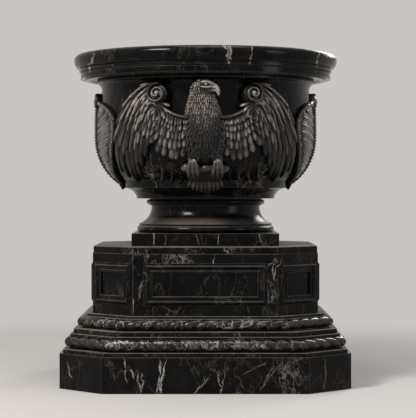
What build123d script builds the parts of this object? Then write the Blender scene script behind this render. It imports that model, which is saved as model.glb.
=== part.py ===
from build123d import *
from math import atan2, cos, degrees, radians, sin, sqrt
import os

os.makedirs("parts", exist_ok=True)

# Driving dimensions, in millimetres, from the floor upwards. Each course is set back from the one that
# carries it, or stands proud of its own core, so a change of one size carries through the rest.
# The courses are squares with their corners cut off; corner_leg is the length cut from each side.
corner_leg = 120.0
plinth_half = 412.0
plinth_leg = 126.0
plinth_height = 100.0

# Lower rope course: step, cove, rope and fillet.
lower_step_setback = 10.0
lower_step_height = 11.0
lower_cove_height = 5.0
lower_core_setback = 29.0
lower_rope_proud = 11.0
lower_rope_radius = 15.0
lower_fillet_proud = 9.0
lower_fillet_height = 7.5

# Upper rope course: fascia, cove, rope and fillet.
upper_step_setback = 8.0
upper_step_height = 13.5
upper_cove_height = 5.0
upper_core_setback = 33.0
upper_rope_proud = 10.5
upper_rope_radius = 14.0
upper_fillet_setback = 3.0
upper_fillet_height = 7.5

# Strands of the two ropes.
strand_pitch = 38.0
strand_lean = 38.0
strand_cut_width = 9.0
strand_cut_depth = 4.5

# Die with a panel on each of its eight faces, and the thin cap over it.
die_setback = 14.5
die_height = 173.5
cap_setback = 2.0
cap_height = 19.0
panel_frame_rise = 28.5
panel_frame_drop = 26.0
side_frame_margin = 30.0
corner_frame_margin = 9.85
moulding_width = 27.0
moulding_relief = 7.0
panel_pocket_depth = 12.0
panel_recess = 3.0
panel_lap = 9.0

# Bowl: belly, neck, the ledge that carries the rim, and the foot.
belly_radius = 315.0
belly_rise = 182.0
belly_bend = 152.0
belly_sweep = 56.0
neck_inset = 5.0
throat_bend = 26.0
ledge_overhang = 14.0
ledge_thickness = 12.0
ledge_drop = 18.0
neck_drop = 31.0
bowl_height = 375.0
bowl_root_inset = 74.0
bowl_foot_inset = 35.0
bowl_foot_height = 34.0
foot_fillet_height = 4.0
foot_bend = 38.0
basin_wall = 37.0
basin_bend = 118.0
basin_floor_rise = 68.0
basin_fall = 6.0

# Neck ring, turned stem and socle, each set in from the piece above it.
ring_inset = 29.0
ring_height = 18.0
ring_step = 9.0
ring_step_height = 3.0
stem_height = 79.0
stem_waist_inset = 6.0
stem_lip_height = 3.0
stem_scotia_reach = 33.0
stem_scotia_bend = 56.0
stem_fillet_step = 4.0
stem_fillet_height = 6.0
stem_torus_proud = 6.0
stem_torus_height = 20.0
socle_margin = 7.0
socle_height = 36.0

# Rim: bed mould round the neck, then the coping with its bullnose.
bed_overhang = 63.0
bed_groove_depth = 4.0
bed_groove_height = 1.5
soffit_bead_inset = 13.0
soffit_bead_width = 22.0
soffit_bead_drop = 4.0
soffit_bead_cove = 6.0
soffit_bead_bend = 8.0
coping_height = 54.0
coping_fillet_proud = 3.5
coping_fillet_height = 7.8
coping_groove_depth = 6.0
coping_groove_height = 4.5
coping_lip = 12.5
coping_nose_reach = 9.5
coping_nose_bend = 34.0
coping_crown = 17.0
coping_inner_round = 6.0

# Fits and fixings.
bed_clearance = 0.3
plug_clearance = 0.4
thread_clearance = 0.05
service_bore_radius = 45.0
bowl_hole_clearance = 4.0
dowel_radius = 6.0
dowel_length = 60.0
short_dowel_length = 26.0
ring_dowel_length = 16.0
dowel_edge = 30.0
pin_radius = 4.0
pin_in_wall = 12.0
pin_in_relief = 8.0

# Drain in the basin floor.
flange_radius = 38.0
flange_height = 5.0
seal_height = 2.5
waste_radius = 20.0
waste_wall = 3.0
nut_radius = 31.0
nut_height = 12.0
tail_below_nut = 16.0
coupling_wall = 4.0
coupling_height = 28.0
outlet_height = 12.0
spigot_radius = 18.5
spigot_length = 40.0
strainer_bar = 3.0
strainer_drop = 20.0
plug_skirt = 8.0
plug_neck_radius = 9.0
plug_seal_height = 3.0
plug_seal_lap = 4.0
plug_cap_height = 4.0
knob_stem_radius = 3.0
knob_stem_height = 9.0
knob_stem_seat = 1.0
knob_radius = 8.0

# Carved reliefs on the bowl; depths stand out from its wall.
feather_step = 2.5
web_depth = 13.0
fringe_count = 5
fringe_width = 24.0
flight_depth = 14.0
flight_count = 10
flight_width = 31.0
covert_depth = 20.0
covert_count = 8
covert_width = 29.0
lesser_depth = 26.0
lesser_count = 7
lesser_width = 26.0
arch_depth = 33.0
volute_depth = 44.0
volute_radius = 26.0
volute_groove = 0.45
volute_groove_width = 7.0
wing_angle = 37.0
tail_depth = 9.0
tail_count = 7
tail_width = 24.0
head_radius = 30.0
head_stand = 18.0
head_drop = 17.0
head_shift = 4.0
perch_rise = 21.0
perch_radius = 11.0
perch_span = 27.0
foot_spread = 36.0
toe_depth = 27.0
toe_width = 9.0
toe_length = 42.0
toe_pitch = 11.0
strap_depth = 8.0
strap_border = 14.0
strap_border_depth = 12.0
strap_lobe_count = 5
strap_lobe_width = 44.0
strap_spine_width = 34.0
strap_spine_depth = 15.0
strap_knob_radius = 27.0
strap_knob_depth = 22.0

# Half widths of the courses.
lower_step_half = plinth_half - lower_step_setback
lower_core_half = lower_step_half - lower_core_setback
lower_rope_half = lower_core_half + lower_rope_proud
lower_fillet_half = lower_core_half + lower_fillet_proud
upper_step_half = lower_fillet_half - upper_step_setback
upper_core_half = upper_step_half - upper_core_setback
upper_rope_half = upper_core_half + upper_rope_proud
upper_fillet_half = upper_core_half - upper_fillet_setback
die_half = upper_fillet_half - die_setback
cap_half = die_half - cap_setback

# Radii of the bowl, the stem below it and the rim above it.
neck_radius = belly_radius - neck_inset
ledge_radius = neck_radius + ledge_overhang
basin_radius = belly_radius - basin_wall
bowl_root_radius = belly_radius - bowl_root_inset
bowl_foot_radius = bowl_root_radius - bowl_foot_inset
ring_radius = bowl_foot_radius - ring_inset
ring_step_radius = ring_radius - ring_step
stem_waist_radius = ring_step_radius - stem_waist_inset
stem_scotia_radius = stem_waist_radius + stem_scotia_reach
stem_fillet_radius = stem_scotia_radius + stem_fillet_step
stem_torus_radius = stem_fillet_radius + stem_torus_proud
socle_half = stem_torus_radius + socle_margin
bowl_hole_radius = waste_radius + bowl_hole_clearance
bed_radius = neck_radius + bed_overhang
bed_groove_radius = bed_radius - bed_groove_depth
coping_fillet_radius = bed_radius + coping_fillet_proud
coping_groove_radius = coping_fillet_radius - coping_groove_depth
coping_nose_radius = coping_groove_radius + coping_lip
coping_radius = coping_nose_radius + coping_nose_reach

# Heights of the beds between the courses.
lower_course_height = lower_step_height + lower_cove_height + 2 * lower_rope_radius + lower_fillet_height
upper_course_height = upper_step_height + upper_cove_height + 2 * upper_rope_radius + upper_fillet_height
lower_course_z = plinth_height
upper_course_z = lower_course_z + lower_course_height
die_z = upper_course_z + upper_course_height
cap_z = die_z + die_height
socle_z = cap_z + cap_height
stem_z = socle_z + socle_height
ring_z = stem_z + stem_height
bowl_z = ring_z + ring_height
coping_z = bowl_z + bowl_height
ledge_z = coping_z - ledge_drop
neck_z = ledge_z - neck_drop
belly_z = bowl_z + belly_rise
root_z = bowl_z + bowl_foot_height
top_z = coping_z + coping_height
floor_z = bowl_z + basin_floor_rise


def chamfered_square(half, leg):
    flat = half - leg
    corners = [(half, flat), (flat, half), (-flat, half), (-half, flat)]
    corners += [(-x, -y) for x, y in corners]
    return make_face(Polyline(*corners, close=True))


def slab(half, leg, z, height):
    return extrude(Pos(0, 0, z) * chamfered_square(half, leg), height)


def turned(*edges):
    return revolve(make_face(Plane.XZ * Curve(edges)), Axis.Z)


def disc(radius, z, height):
    return Pos(0, 0, z) * Cylinder(radius, height, align=(Align.CENTER, Align.CENTER, Align.MIN))


def service_bore(z, height):
    return disc(service_bore_radius, z - 1, height + 2)


def keep(shape, name):
    export_step(shape, f"parts/{name}.step")
    return shape


# Corners of a course and the flats between them, from the right-hand side round.
def course_corners(half):
    flat = half - corner_leg
    corners = [(half, -flat), (half, flat), (flat, half), (-flat, half)]
    return corners + [(-x, -y) for x, y in corners]


# Plain rope stock, mitred round a chamfered square.
def rope_bar(half, radius, z):
    path = Pos(0, 0, z) * Polyline((half, 0), *course_corners(half)[1:], (half, -half + corner_leg), (half, 0))
    section = Plane(origin=(half, 0, z), x_dir=(1, 0, 0), z_dir=(0, 1, 0)) * Circle(radius)
    return sweep(section, path=path, transition=Transition.RIGHT)


# Wedges that open outwards from the rope's centre line and lean along it, one between each two strands.
def strand_cuts(half, radius, z, lean):
    outline = Polyline((0, 0), (2 * radius, strand_cut_width), (2 * radius, -strand_cut_width), close=True)
    wedge = extrude(Plane.XY * make_face(outline), 2 * radius, both=True)
    corners = course_corners(half)
    cuts = []
    for start, end in zip(corners, corners[1:] + corners[:1]):
        run = Vector(*end) - Vector(*start)
        count = round(run.length / strand_pitch)
        facing = degrees(atan2(-run.X, run.Y))
        for i in range(1, count):
            place = Vector(*start) + run * (i / count)
            cuts.append(Pos(place.X, place.Y, z) * Rot(0, 0, facing) * Rot(lean, 0, 0) * wedge)
    return cuts


# Rope moulding in eight lengths, mitred at the corners and bedded in the angle under the fillet.
def rope_moulding(half, radius, z, core_half, lean):
    rope = rope_bar(half, radius, z) - strand_cuts(half, radius, z, lean)
    rope += rope_bar(half, radius - strand_cut_depth, z)
    rope -= slab(core_half, corner_leg, z - 2 * radius, 4 * radius)
    corners = [Vector(*corner) for corner in course_corners(half)]
    mitres = [Vector(2 * radius, 0).rotate(Axis.Z, 45 * i - 22.5) for i in range(8)]
    lengths = []
    for i in range(8):
        start, end = corners[i], corners[(i + 1) % 8]
        start_mitre, end_mitre = mitres[i], mitres[(i + 1) % 8]
        run = Polyline(start - start_mitre, start + start_mitre, end + end_mitre, end - end_mitre, close=True)
        lengths.append(rope & extrude(Pos(0, 0, z - 2 * radius) * make_face(run), 4 * radius))
    return Compound(children=lengths)


# Solid course behind a rope moulding: a step, the core and a fillet over the rope.
def rope_course(z, step_half, step_height, core_half, fillet_z, fillet_half, fillet_height):
    course = slab(step_half, corner_leg, z, step_height)
    course += slab(core_half, corner_leg, z, fillet_z - z)
    course += slab(fillet_half, corner_leg, fillet_z, fillet_height)
    return course - service_bore(z, fillet_z + fillet_height - z)


# Dowels stand half in the course below and half in the one above.
def dowel_places(radius, count, turn=45.0):
    return [Rot(0, 0, turn + 360 * i / count) * Pos(radius, 0, 0) for i in range(count)]


def dowels(places, z, radius, length):
    solid = Cylinder(radius, length)
    return Compound(children=[Pos(0, 0, z) * place * solid for place in places])


def drilled(shape, places, z, length):
    holes = dowels(places, z, dowel_radius + bed_clearance, length + 2 * bed_clearance)
    for hole in holes.solids():
        shape -= hole
    return shape


stem_dowel_circle = stem_waist_radius - dowel_edge
plinth_dowels = dowel_places(plinth_half - corner_leg, 4)
course_dowels = dowel_places(lower_core_half - corner_leg, 4)
die_dowels = dowel_places(die_half - corner_leg, 4)
cap_dowels = dowel_places(die_half - corner_leg - dowel_edge, 4)
socle_dowels = dowel_places(socle_half - dowel_edge, 4, 0)
stem_dowels = dowel_places(stem_dowel_circle, 3, 90)
ring_dowels = dowel_places(stem_dowel_circle, 3, 90)
bowl_dowels = dowel_places(stem_dowel_circle, 3, 30)
rim_dowels = dowel_places((neck_radius + bed_radius) / 2, 8, 22.5)

# Square courses.
base_plinth = slab(plinth_half, plinth_leg, 0, plinth_height) - service_bore(0, plinth_height)
base_plinth = drilled(base_plinth, plinth_dowels, lower_course_z, dowel_length)

lower_rope_z = lower_course_z + lower_step_height + lower_cove_height + lower_rope_radius
lower_course = rope_course(lower_course_z, lower_step_half, lower_step_height, lower_core_half,
                           lower_rope_z + lower_rope_radius, lower_fillet_half, lower_fillet_height)
lower_course = drilled(lower_course, plinth_dowels, lower_course_z, dowel_length)
lower_course = drilled(lower_course, course_dowels, upper_course_z, short_dowel_length)
lower_rope = rope_moulding(lower_rope_half, lower_rope_radius, lower_rope_z, lower_core_half, strand_lean)

upper_rope_z = upper_course_z + upper_step_height + upper_cove_height + upper_rope_radius
upper_course = rope_course(upper_course_z, upper_step_half, upper_step_height, upper_core_half,
                           upper_rope_z + upper_rope_radius, upper_fillet_half, upper_fillet_height)
upper_course = drilled(upper_course, course_dowels, upper_course_z, short_dowel_length)
upper_course = drilled(upper_course, die_dowels, die_z, short_dowel_length)
upper_rope = rope_moulding(upper_rope_half, upper_rope_radius, upper_rope_z, upper_core_half, -strand_lean)

# Panelled faces of the die: the four sides, then the four cut corners.
panel_frame_height = die_height - panel_frame_rise - panel_frame_drop
frame_z = die_z + panel_frame_rise + panel_frame_height / 2
side_frame_width = 2 * (die_half - corner_leg - side_frame_margin)
corner_frame_width = sqrt(2) * corner_leg - 2 * corner_frame_margin
corner_face_distance = (2 * die_half - corner_leg) / sqrt(2)
faces = {}
for i, side in enumerate(["front", "right", "back", "left"]):
    faces[side] = (90.0 * i, die_half, side_frame_width)
for i, side in enumerate(["front_right", "back_right", "back_left", "front_left"]):
    faces[side] = (45.0 + 90.0 * i, corner_face_distance, corner_frame_width)


def face_plane(angle, distance, z):
    turn = radians(angle)
    outward = (sin(turn), -cos(turn), 0)
    origin = (distance * sin(turn), -distance * cos(turn), z)
    return Plane(origin=origin, x_dir=(cos(turn), sin(turn), 0), z_dir=outward)


def moulding_section():
    step = 0.3 * moulding_relief
    crown = 0.3 * moulding_width
    flat = 0.42 * moulding_width
    foot = 0.76 * moulding_width
    bead = 0.96 * moulding_width
    low = 0.35 * moulding_relief
    return make_face(Curve([
        Line((0, 0), (0, step)),
        RadiusArc((0, step), (crown, moulding_relief), -1.1 * crown),
        Line((crown, moulding_relief), (flat, moulding_relief)),
        RadiusArc((flat, moulding_relief), (foot, low), -1.3 * (foot - flat)),
        ThreePointArc((foot, low), ((foot + bead) / 2, 0.68 * moulding_relief), (bead, low)),
        Line((bead, low), (moulding_width, low)),
        Line((moulding_width, low), (moulding_width, 0)),
        Line((moulding_width, 0), (0, 0)),
    ]))


def frame_rail(length, offset):
    plane = Plane(origin=(-length / 2, -offset, 0), x_dir=(0, 1, 0), z_dir=(1, 0, 0))
    bar = extrude(plane * moulding_section(), length)
    inner = length / 2 - moulding_width
    mitre = Polyline((-length / 2, -offset), (length / 2, -offset), (inner, moulding_width - offset),
                     (-inner, moulding_width - offset), close=True)
    return bar & extrude(make_face(mitre), 2 * moulding_relief)


def panel_frame(width, height):
    long_rail = frame_rail(width, height / 2)
    short_rail = Rot(0, 0, 90) * frame_rail(height, width / 2)
    rails = [long_rail, Rot(0, 0, 180) * long_rail, short_rail, Rot(0, 0, 180) * short_rail]
    return Compound(children=rails)


die_block = slab(die_half, corner_leg, die_z, die_height) - service_bore(die_z, die_height)
die_block = drilled(die_block, die_dowels, die_z, short_dowel_length)
die_block = drilled(die_block, cap_dowels, cap_z, short_dowel_length)
field_height = panel_frame_height - 2 * moulding_width
for side, (angle, distance, width) in faces.items():
    plane = face_plane(angle, distance, frame_z)
    field_width = width - 2 * moulding_width
    pocket = Box(field_width + 2 * panel_lap, field_height + 2 * panel_lap, 2 * panel_pocket_depth)
    die_block -= plane * pocket
    panel = Box(field_width + 2 * panel_lap - 2 * bed_clearance,
                field_height + 2 * panel_lap - 2 * bed_clearance,
                panel_pocket_depth - panel_recess, align=(Align.CENTER, Align.CENTER, Align.MIN))
    keep(plane * Pos(0, 0, -panel_pocket_depth) * panel, f"panel_{side}")
    keep(plane * panel_frame(width, panel_frame_height), f"panel_frame_{side}")

die_cap = slab(cap_half, corner_leg, cap_z, cap_height) - service_bore(cap_z, cap_height)
die_cap = drilled(die_cap, cap_dowels, cap_z, short_dowel_length)
die_cap = drilled(die_cap, socle_dowels, socle_z, short_dowel_length)

socle_slab = Pos(0, 0, socle_z) * Box(2 * socle_half, 2 * socle_half, socle_height,
                                      align=(Align.CENTER, Align.CENTER, Align.MIN))
socle_slab -= service_bore(socle_z, socle_height)
socle_slab = drilled(socle_slab, socle_dowels, socle_z, short_dowel_length)
socle_slab = drilled(socle_slab, stem_dowels, stem_z, short_dowel_length)


# Turned stem: a torus, a fillet and a scotia up to the waist.
def turned_stem():
    torus_in = stem_torus_radius - stem_torus_height / 2
    torus_top = stem_z + stem_torus_height
    fillet_top = torus_top + stem_fillet_height
    scotia_start = (stem_scotia_radius, fillet_top)
    scotia_end = (stem_waist_radius, ring_z - stem_lip_height)
    return turned(
        Line((service_bore_radius, stem_z), (torus_in, stem_z)),
        ThreePointArc((torus_in, stem_z), (stem_torus_radius, stem_z + stem_torus_height / 2),
                      (torus_in, torus_top)),
        Line((torus_in, torus_top), (stem_fillet_radius, torus_top)),
        Line((stem_fillet_radius, torus_top), (stem_fillet_radius, fillet_top)),
        Line((stem_fillet_radius, fillet_top), scotia_start),
        RadiusArc(scotia_start, scotia_end, stem_scotia_bend),
        Line(scotia_end, (stem_waist_radius, ring_z)),
        Line((stem_waist_radius, ring_z), (service_bore_radius, ring_z)),
        Line((service_bore_radius, ring_z), (service_bore_radius, stem_z)),
    )


stem = turned_stem()
stem = drilled(stem, stem_dowels, stem_z, short_dowel_length)
stem = drilled(stem, ring_dowels, ring_z, ring_dowel_length)


def turned_ring():
    bead_radius = (ring_height - ring_step_height) / 2
    bead_z = ring_z + ring_step_height
    bead_in = ring_radius - bead_radius
    return turned(
        Line((service_bore_radius, ring_z), (ring_step_radius, ring_z)),
        Line((ring_step_radius, ring_z), (ring_step_radius, bead_z)),
        Line((ring_step_radius, bead_z), (bead_in, bead_z)),
        ThreePointArc((bead_in, bead_z), (ring_radius, bead_z + bead_radius), (bead_in, bowl_z)),
        Line((bead_in, bowl_z), (service_bore_radius, bowl_z)),
        Line((service_bore_radius, bowl_z), (service_bore_radius, ring_z)),
    )


neck_ring = drilled(turned_ring(), ring_dowels, ring_z, ring_dowel_length)
neck_ring = drilled(neck_ring, bowl_dowels, bowl_z, ring_dowel_length)


# The bowl's wall from its root to its neck, stood out by some depth: a flare, a round belly and a long
# flat arc up to the neck.
def wall_curve(depth):
    turn = radians(belly_sweep)
    reach = belly_bend + depth
    low = (belly_radius - belly_bend + reach * cos(turn), belly_z - reach * sin(turn))
    on_belly = (belly_radius - belly_bend + reach * cos(turn / 2), belly_z - reach * sin(turn / 2))
    swell = (belly_radius - neck_radius) / 4
    return Curve([
        Line((bowl_root_radius + depth, root_z), low),
        ThreePointArc(low, on_belly, (belly_radius + depth, belly_z)),
        ThreePointArc((belly_radius + depth, belly_z),
                      (belly_radius + depth - swell, (belly_z + neck_z) / 2),
                      (neck_radius + depth, neck_z)),
    ])


# The hollow moulding from the neck out to the ledge.
def throat_curve(depth):
    return RadiusArc((neck_radius + depth, neck_z), (ledge_radius + depth, ledge_z - ledge_thickness),
                     throat_bend)


def turned_bowl():
    throat_z = bowl_z + ring_step_height
    step_in = ring_radius - ring_height / 2
    seat_radius = flange_radius + bed_clearance
    seat_z = floor_z - flange_height - seal_height
    bend_z = floor_z + basin_fall + basin_bend
    bend_in = basin_radius - basin_bend
    foot = (bowl_foot_radius, throat_z + foot_fillet_height)
    return turned(
        Line((bowl_hole_radius, bowl_z), (step_in, bowl_z)),
        Line((step_in, bowl_z), (step_in, throat_z)),
        Line((step_in, throat_z), (bowl_foot_radius, throat_z)),
        Line((bowl_foot_radius, throat_z), foot),
        RadiusArc(foot, (bowl_root_radius, root_z), foot_bend),
        wall_curve(0),
        throat_curve(0),
        Line((ledge_radius, ledge_z - ledge_thickness), (ledge_radius, ledge_z)),
        Line((ledge_radius, ledge_z), (neck_radius, ledge_z)),
        Line((neck_radius, ledge_z), (neck_radius, coping_z)),
        Line((neck_radius, coping_z), (basin_radius, coping_z)),
        Line((basin_radius, coping_z), (basin_radius, bend_z)),
        RadiusArc((basin_radius, bend_z), (bend_in, bend_z - basin_bend), basin_bend),
        Line((bend_in, bend_z - basin_bend), (seat_radius, floor_z)),
        Line((seat_radius, floor_z), (seat_radius, seat_z)),
        Line((seat_radius, seat_z), (bowl_hole_radius, seat_z)),
        Line((bowl_hole_radius, seat_z), (bowl_hole_radius, bowl_z)),
    )


bowl = drilled(turned_bowl(), bowl_dowels, bowl_z, ring_dowel_length)


def turned_bed_mould():
    inner = neck_radius + bed_clearance
    band_top = coping_z - bed_groove_height
    bead_out = bed_radius - soffit_bead_inset
    bead_in = bead_out - soffit_bead_width
    bead_z = ledge_z - soffit_bead_drop
    return turned(
        Line((inner, ledge_z), (bead_in, ledge_z)),
        RadiusArc((bead_in, ledge_z), (bead_in + soffit_bead_cove, bead_z), soffit_bead_bend),
        Line((bead_in + soffit_bead_cove, bead_z), (bead_out, bead_z)),
        Line((bead_out, bead_z), (bead_out, ledge_z)),
        Line((bead_out, ledge_z), (bed_radius, ledge_z)),
        Line((bed_radius, ledge_z), (bed_radius, band_top)),
        Line((bed_radius, band_top), (bed_groove_radius, band_top)),
        Line((bed_groove_radius, band_top), (bed_groove_radius, coping_z)),
        Line((bed_groove_radius, coping_z), (inner, coping_z)),
        Line((inner, coping_z), (inner, ledge_z)),
    )


rim_bed_mould = drilled(turned_bed_mould(), rim_dowels, coping_z, short_dowel_length)


def turned_coping():
    fillet_z = coping_z + bed_groove_height
    groove_z = fillet_z + coping_fillet_height
    nose_z = groove_z + coping_groove_height
    widest_z = top_z - coping_crown
    return turned(
        Line((basin_radius, coping_z), (bed_groove_radius, coping_z)),
        Line((bed_groove_radius, coping_z), (bed_groove_radius, fillet_z)),
        Line((bed_groove_radius, fillet_z), (coping_fillet_radius, fillet_z)),
        Line((coping_fillet_radius, fillet_z), (coping_fillet_radius, groove_z)),
        Line((coping_fillet_radius, groove_z), (coping_groove_radius, groove_z)),
        Line((coping_groove_radius, groove_z), (coping_groove_radius, nose_z)),
        Line((coping_groove_radius, nose_z), (coping_nose_radius, nose_z)),
        RadiusArc((coping_nose_radius, nose_z), (coping_radius, widest_z), -coping_nose_bend),
        RadiusArc((coping_radius, widest_z), (coping_radius - coping_crown, top_z), -coping_crown),
        Line((coping_radius - coping_crown, top_z), (basin_radius + coping_inner_round, top_z)),
        RadiusArc((basin_radius + coping_inner_round, top_z), (basin_radius, top_z - coping_inner_round),
                  -coping_inner_round),
        Line((basin_radius, top_z - coping_inner_round), (basin_radius, coping_z)),
    )


rim_coping = drilled(turned_coping(), rim_dowels, coping_z, short_dowel_length)

# Drain: flange, seals, backnut, coupling and pipe.
flange_z = floor_z - flange_height
sump_z = flange_z - seal_height
tube_bore = waste_radius - waste_wall
nut_top = bowl_z - seal_height
nut_z = nut_top - nut_height
tail_z = nut_z - tail_below_nut
coupling_z = tail_z - coupling_height / 2

waste_flange = disc(flange_radius, flange_z, flange_height)
waste_flange += disc(waste_radius, tail_z, flange_z - tail_z)
waste_flange -= disc(tube_bore, tail_z - 1, floor_z - tail_z + 2)
for turn in (0, 90):
    bar = Box(2 * tube_bore + waste_wall, strainer_bar, strainer_bar)
    waste_flange += Pos(0, 0, floor_z - strainer_drop) * Rot(0, 0, turn) * bar

waste_upper_seal = disc(flange_radius, sump_z, seal_height)
waste_upper_seal -= disc(waste_radius + bed_clearance, sump_z - 1, seal_height + 2)
waste_lower_seal = disc(nut_radius, nut_top, seal_height)
waste_lower_seal -= disc(waste_radius + bed_clearance, nut_top - 1, seal_height + 2)
waste_backnut = extrude(Pos(0, 0, nut_z) * RegularPolygon(nut_radius, 6), nut_height)
waste_backnut -= disc(waste_radius + thread_clearance, nut_z - 1, nut_height + 2)
pipe_coupling = disc(waste_radius + coupling_wall, coupling_z, coupling_height)
pipe_coupling -= disc(waste_radius + thread_clearance, coupling_z - 1, coupling_height + 2)
spigot_top = outlet_height + spigot_length
waste_pipe = disc(spigot_radius, outlet_height, spigot_length)
waste_pipe += disc(waste_radius, spigot_top, tail_z - spigot_top)
waste_pipe -= disc(tube_bore, outlet_height - 1, tail_z - outlet_height + 2)

# Drain plug: a skirt in the flange, a seal clamped round its neck and a knob to lift it by.
plug_seal_z = floor_z + bed_clearance
plug_cap_z = plug_seal_z + plug_seal_height
knob_z = plug_cap_z + plug_cap_height
plug_seal_radius = tube_bore + plug_seal_lap
drain_plug = disc(tube_bore - plug_clearance, plug_seal_z - plug_skirt, plug_skirt)
drain_plug += disc(plug_neck_radius, plug_seal_z, plug_seal_height)
drain_plug += disc(plug_seal_radius, plug_cap_z, plug_cap_height)
plug_seal = disc(plug_seal_radius, plug_seal_z, plug_seal_height)
plug_seal -= disc(plug_neck_radius, plug_seal_z, plug_seal_height)
knob_centre_z = knob_z + knob_stem_height + knob_radius - knob_stem_seat
plug_knob = disc(knob_stem_radius, knob_z, knob_stem_height) + Pos(0, 0, knob_centre_z) * Sphere(knob_radius)


# Reliefs on the bowl. Each outline is drawn on an upright plane that faces outwards at an angle from
# the front, run out to a depth beyond the wall and seated on it.
def wall_solid(depth):
    throat = throat_curve(depth)
    return turned(
        wall_curve(depth),
        throat,
        Line(throat @ 1, (0, ledge_z)),
        Line((0, ledge_z), (0, root_z)),
        Line((0, root_z), (bowl_root_radius + depth, root_z)),
    )


def raised(outline, angle, depth):
    block = extrude(face_plane(angle, stem_waist_radius, 0) * outline, coping_radius)
    return block & wall_solid(depth)


def seated(shape):
    return shape - wall_solid(bed_clearance)


# Places on the wall: degrees round from the front, and hundredths of the height from root to neck.
def rise_z(rise):
    return root_z + rise * (neck_z - root_z) / 100


def on_wall(place, facing):
    turn, rise = place
    return belly_radius * sin(radians(turn - facing)), rise_z(rise)


# Radius of the wall at a height: the belly's arc below, and the long flat arc above it.
def wall_radius(z):
    if z > belly_z:
        return belly_radius - neck_inset * ((z - belly_z) / (neck_z - belly_z)) ** 2
    return belly_radius - belly_bend + sqrt(belly_bend ** 2 - (belly_z - z) ** 2)


perch_z = rise_z(perch_rise)


# A feather, from its root to a pointed tip.
def feather(root, tip, width):
    run = Vector(*tip) - Vector(*root)
    shoulder = (run.length - width, width / 2)
    edge = [
        Line((0, width / 4), shoulder),
        ThreePointArc(shoulder, (run.length - width / 4, width / 3), (run.length, 0)),
    ]
    outline = Curve(edge + [mirror(side, Plane.XZ) for side in edge] + [Line((0, width / 4), (0, -width / 4))])
    return Pos(*root) * Rot(0, 0, degrees(atan2(run.Y, run.X))) * make_face(outline)


def blend(curve, t):
    start, pull, end = curve
    return tuple((1 - t) ** 2 * a + 2 * t * (1 - t) * b + t ** 2 * c for a, b, c in zip(start, pull, end))


# A row of feathers between a curve of roots and a curve of tips, every other one a little lower.
def feather_row(roots, tips, count, width, facing, depth):
    row = None
    for start in (0, 1):
        steps = [i / (count - 1) for i in range(start, count, 2)]
        places = [(on_wall(blend(roots, t), facing), on_wall(blend(tips, t), facing)) for t in steps]
        blades = Sketch() + [feather(root, tip, width) for root, tip in places]
        layer = raised(blades, facing, depth - start * feather_step)
        row = layer if row is None else row + layer
    return row


# Left wing: three rows of feathers hang from an arch that rolls into a volute; the right wing mirrors it.
wing_roots = ((-45, 73), (-38, 94), (-19, 84))
flight_tips = ((-56.5, 21), (-45, -13), (-28, 52))
covert_tips = ((-52, 46), (-40, 34), (-25, 64))
lesser_tips = ((-50, 61), (-38, 54), (-22, 72))
arch_top = ((-50, 64), (-42, 83), (-30, 97), (-20, 98))
arch_under = ((-16, 84), (-27, 85), (-38, 74), (-50, 64))
volute_place = (-21.5, 87)


def wing_arch():
    top = Spline(*[on_wall(place, -wing_angle) for place in arch_top])
    under = Spline(*[on_wall(place, -wing_angle) for place in arch_under])
    return make_face(Curve([top, Line(top @ 1, under @ 0), under]))


def left_wing():
    wing = feather_row(wing_roots, flight_tips, flight_count, flight_width, -wing_angle, flight_depth)
    wing += feather_row(wing_roots, covert_tips, covert_count, covert_width, -wing_angle, covert_depth)
    wing += feather_row(wing_roots, lesser_tips, lesser_count, lesser_width, -wing_angle, lesser_depth)
    wing += raised(wing_arch(), -wing_angle, arch_depth)
    centre = Pos(*on_wall(volute_place, -wing_angle))
    groove_radius = volute_groove * volute_radius
    groove = Circle(groove_radius + volute_groove_width) - Circle(groove_radius)
    wing += raised(centre * Circle(volute_radius), -wing_angle, volute_depth)
    wing -= raised(centre * groove, -wing_angle, volute_depth + 1) - wall_solid(arch_depth)
    wing -= extrude(face_plane(0, stem_waist_radius, 0) * web(), coping_radius)
    return seated(wing)


# The web that joins breast and wings, with a fringe of lobes below; the wings are cut to the same line.
web_top = ((-10, 70), (-15, 70), (-18.5, 73), (-21, 77))
web_side = ((-21, 77), (-26, 65), (-28, 51), (-27, 41))
web_foot = ((-27, 41), (-21, 34), (-15, 32), (-8, 34))
fringe_roots = ((-9, 44), (-17, 44), (-23, 48))
fringe_tips = ((-9, 30), (-17, 23), (-26, 34))


def web():
    edges = [Spline(*[on_wall(place, 0) for place in line]) for line in (web_top, web_side, web_foot)]
    edges += [mirror(edge, Plane.YZ) for edge in edges]
    foot = Line(on_wall(web_foot[-1], 0), on_wall((-web_foot[-1][0], web_foot[-1][1]), 0))
    top = Line(on_wall(web_top[0], 0), on_wall((-web_top[0][0], web_top[0][1]), 0))
    outline = make_face(Curve(edges + [foot, top]))
    lobes = []
    for i in range(fringe_count):
        t = i / (fringe_count - 1)
        lobes.append(feather(on_wall(blend(fringe_roots, t), 0), on_wall(blend(fringe_tips, t), 0), fringe_width))
    return Sketch() + [outline] + lobes + [mirror(lobe, Plane.YZ) for lobe in lobes]


# Tail: a fan of feathers from behind the perch down to the root of the bowl.
tail_roots = ((-3.5, 11), (0, 11), (3.5, 11))
tail_tips = ((-12.5, 3.5), (0, -1.5), (12.5, 3.5))


# Breast and neck, lofted up the wall through level ovals: height, half width and stand-off from the wall.
torso_levels = ((33.5, 42, 32), (51, 60, 40), (68, 60, 44), (85, 38, 46), (93.5, 30, 44))
torso_sink = 6.0
torso_foot_half = 34.0
torso_foot_depth = 24.0


def level_oval(half_width, depth, z):
    plane = Plane(origin=(0, torso_sink - wall_radius(z), z), x_dir=(1, 0, 0), z_dir=(0, 0, 1))
    return plane * Ellipse(half_width, depth)


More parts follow.
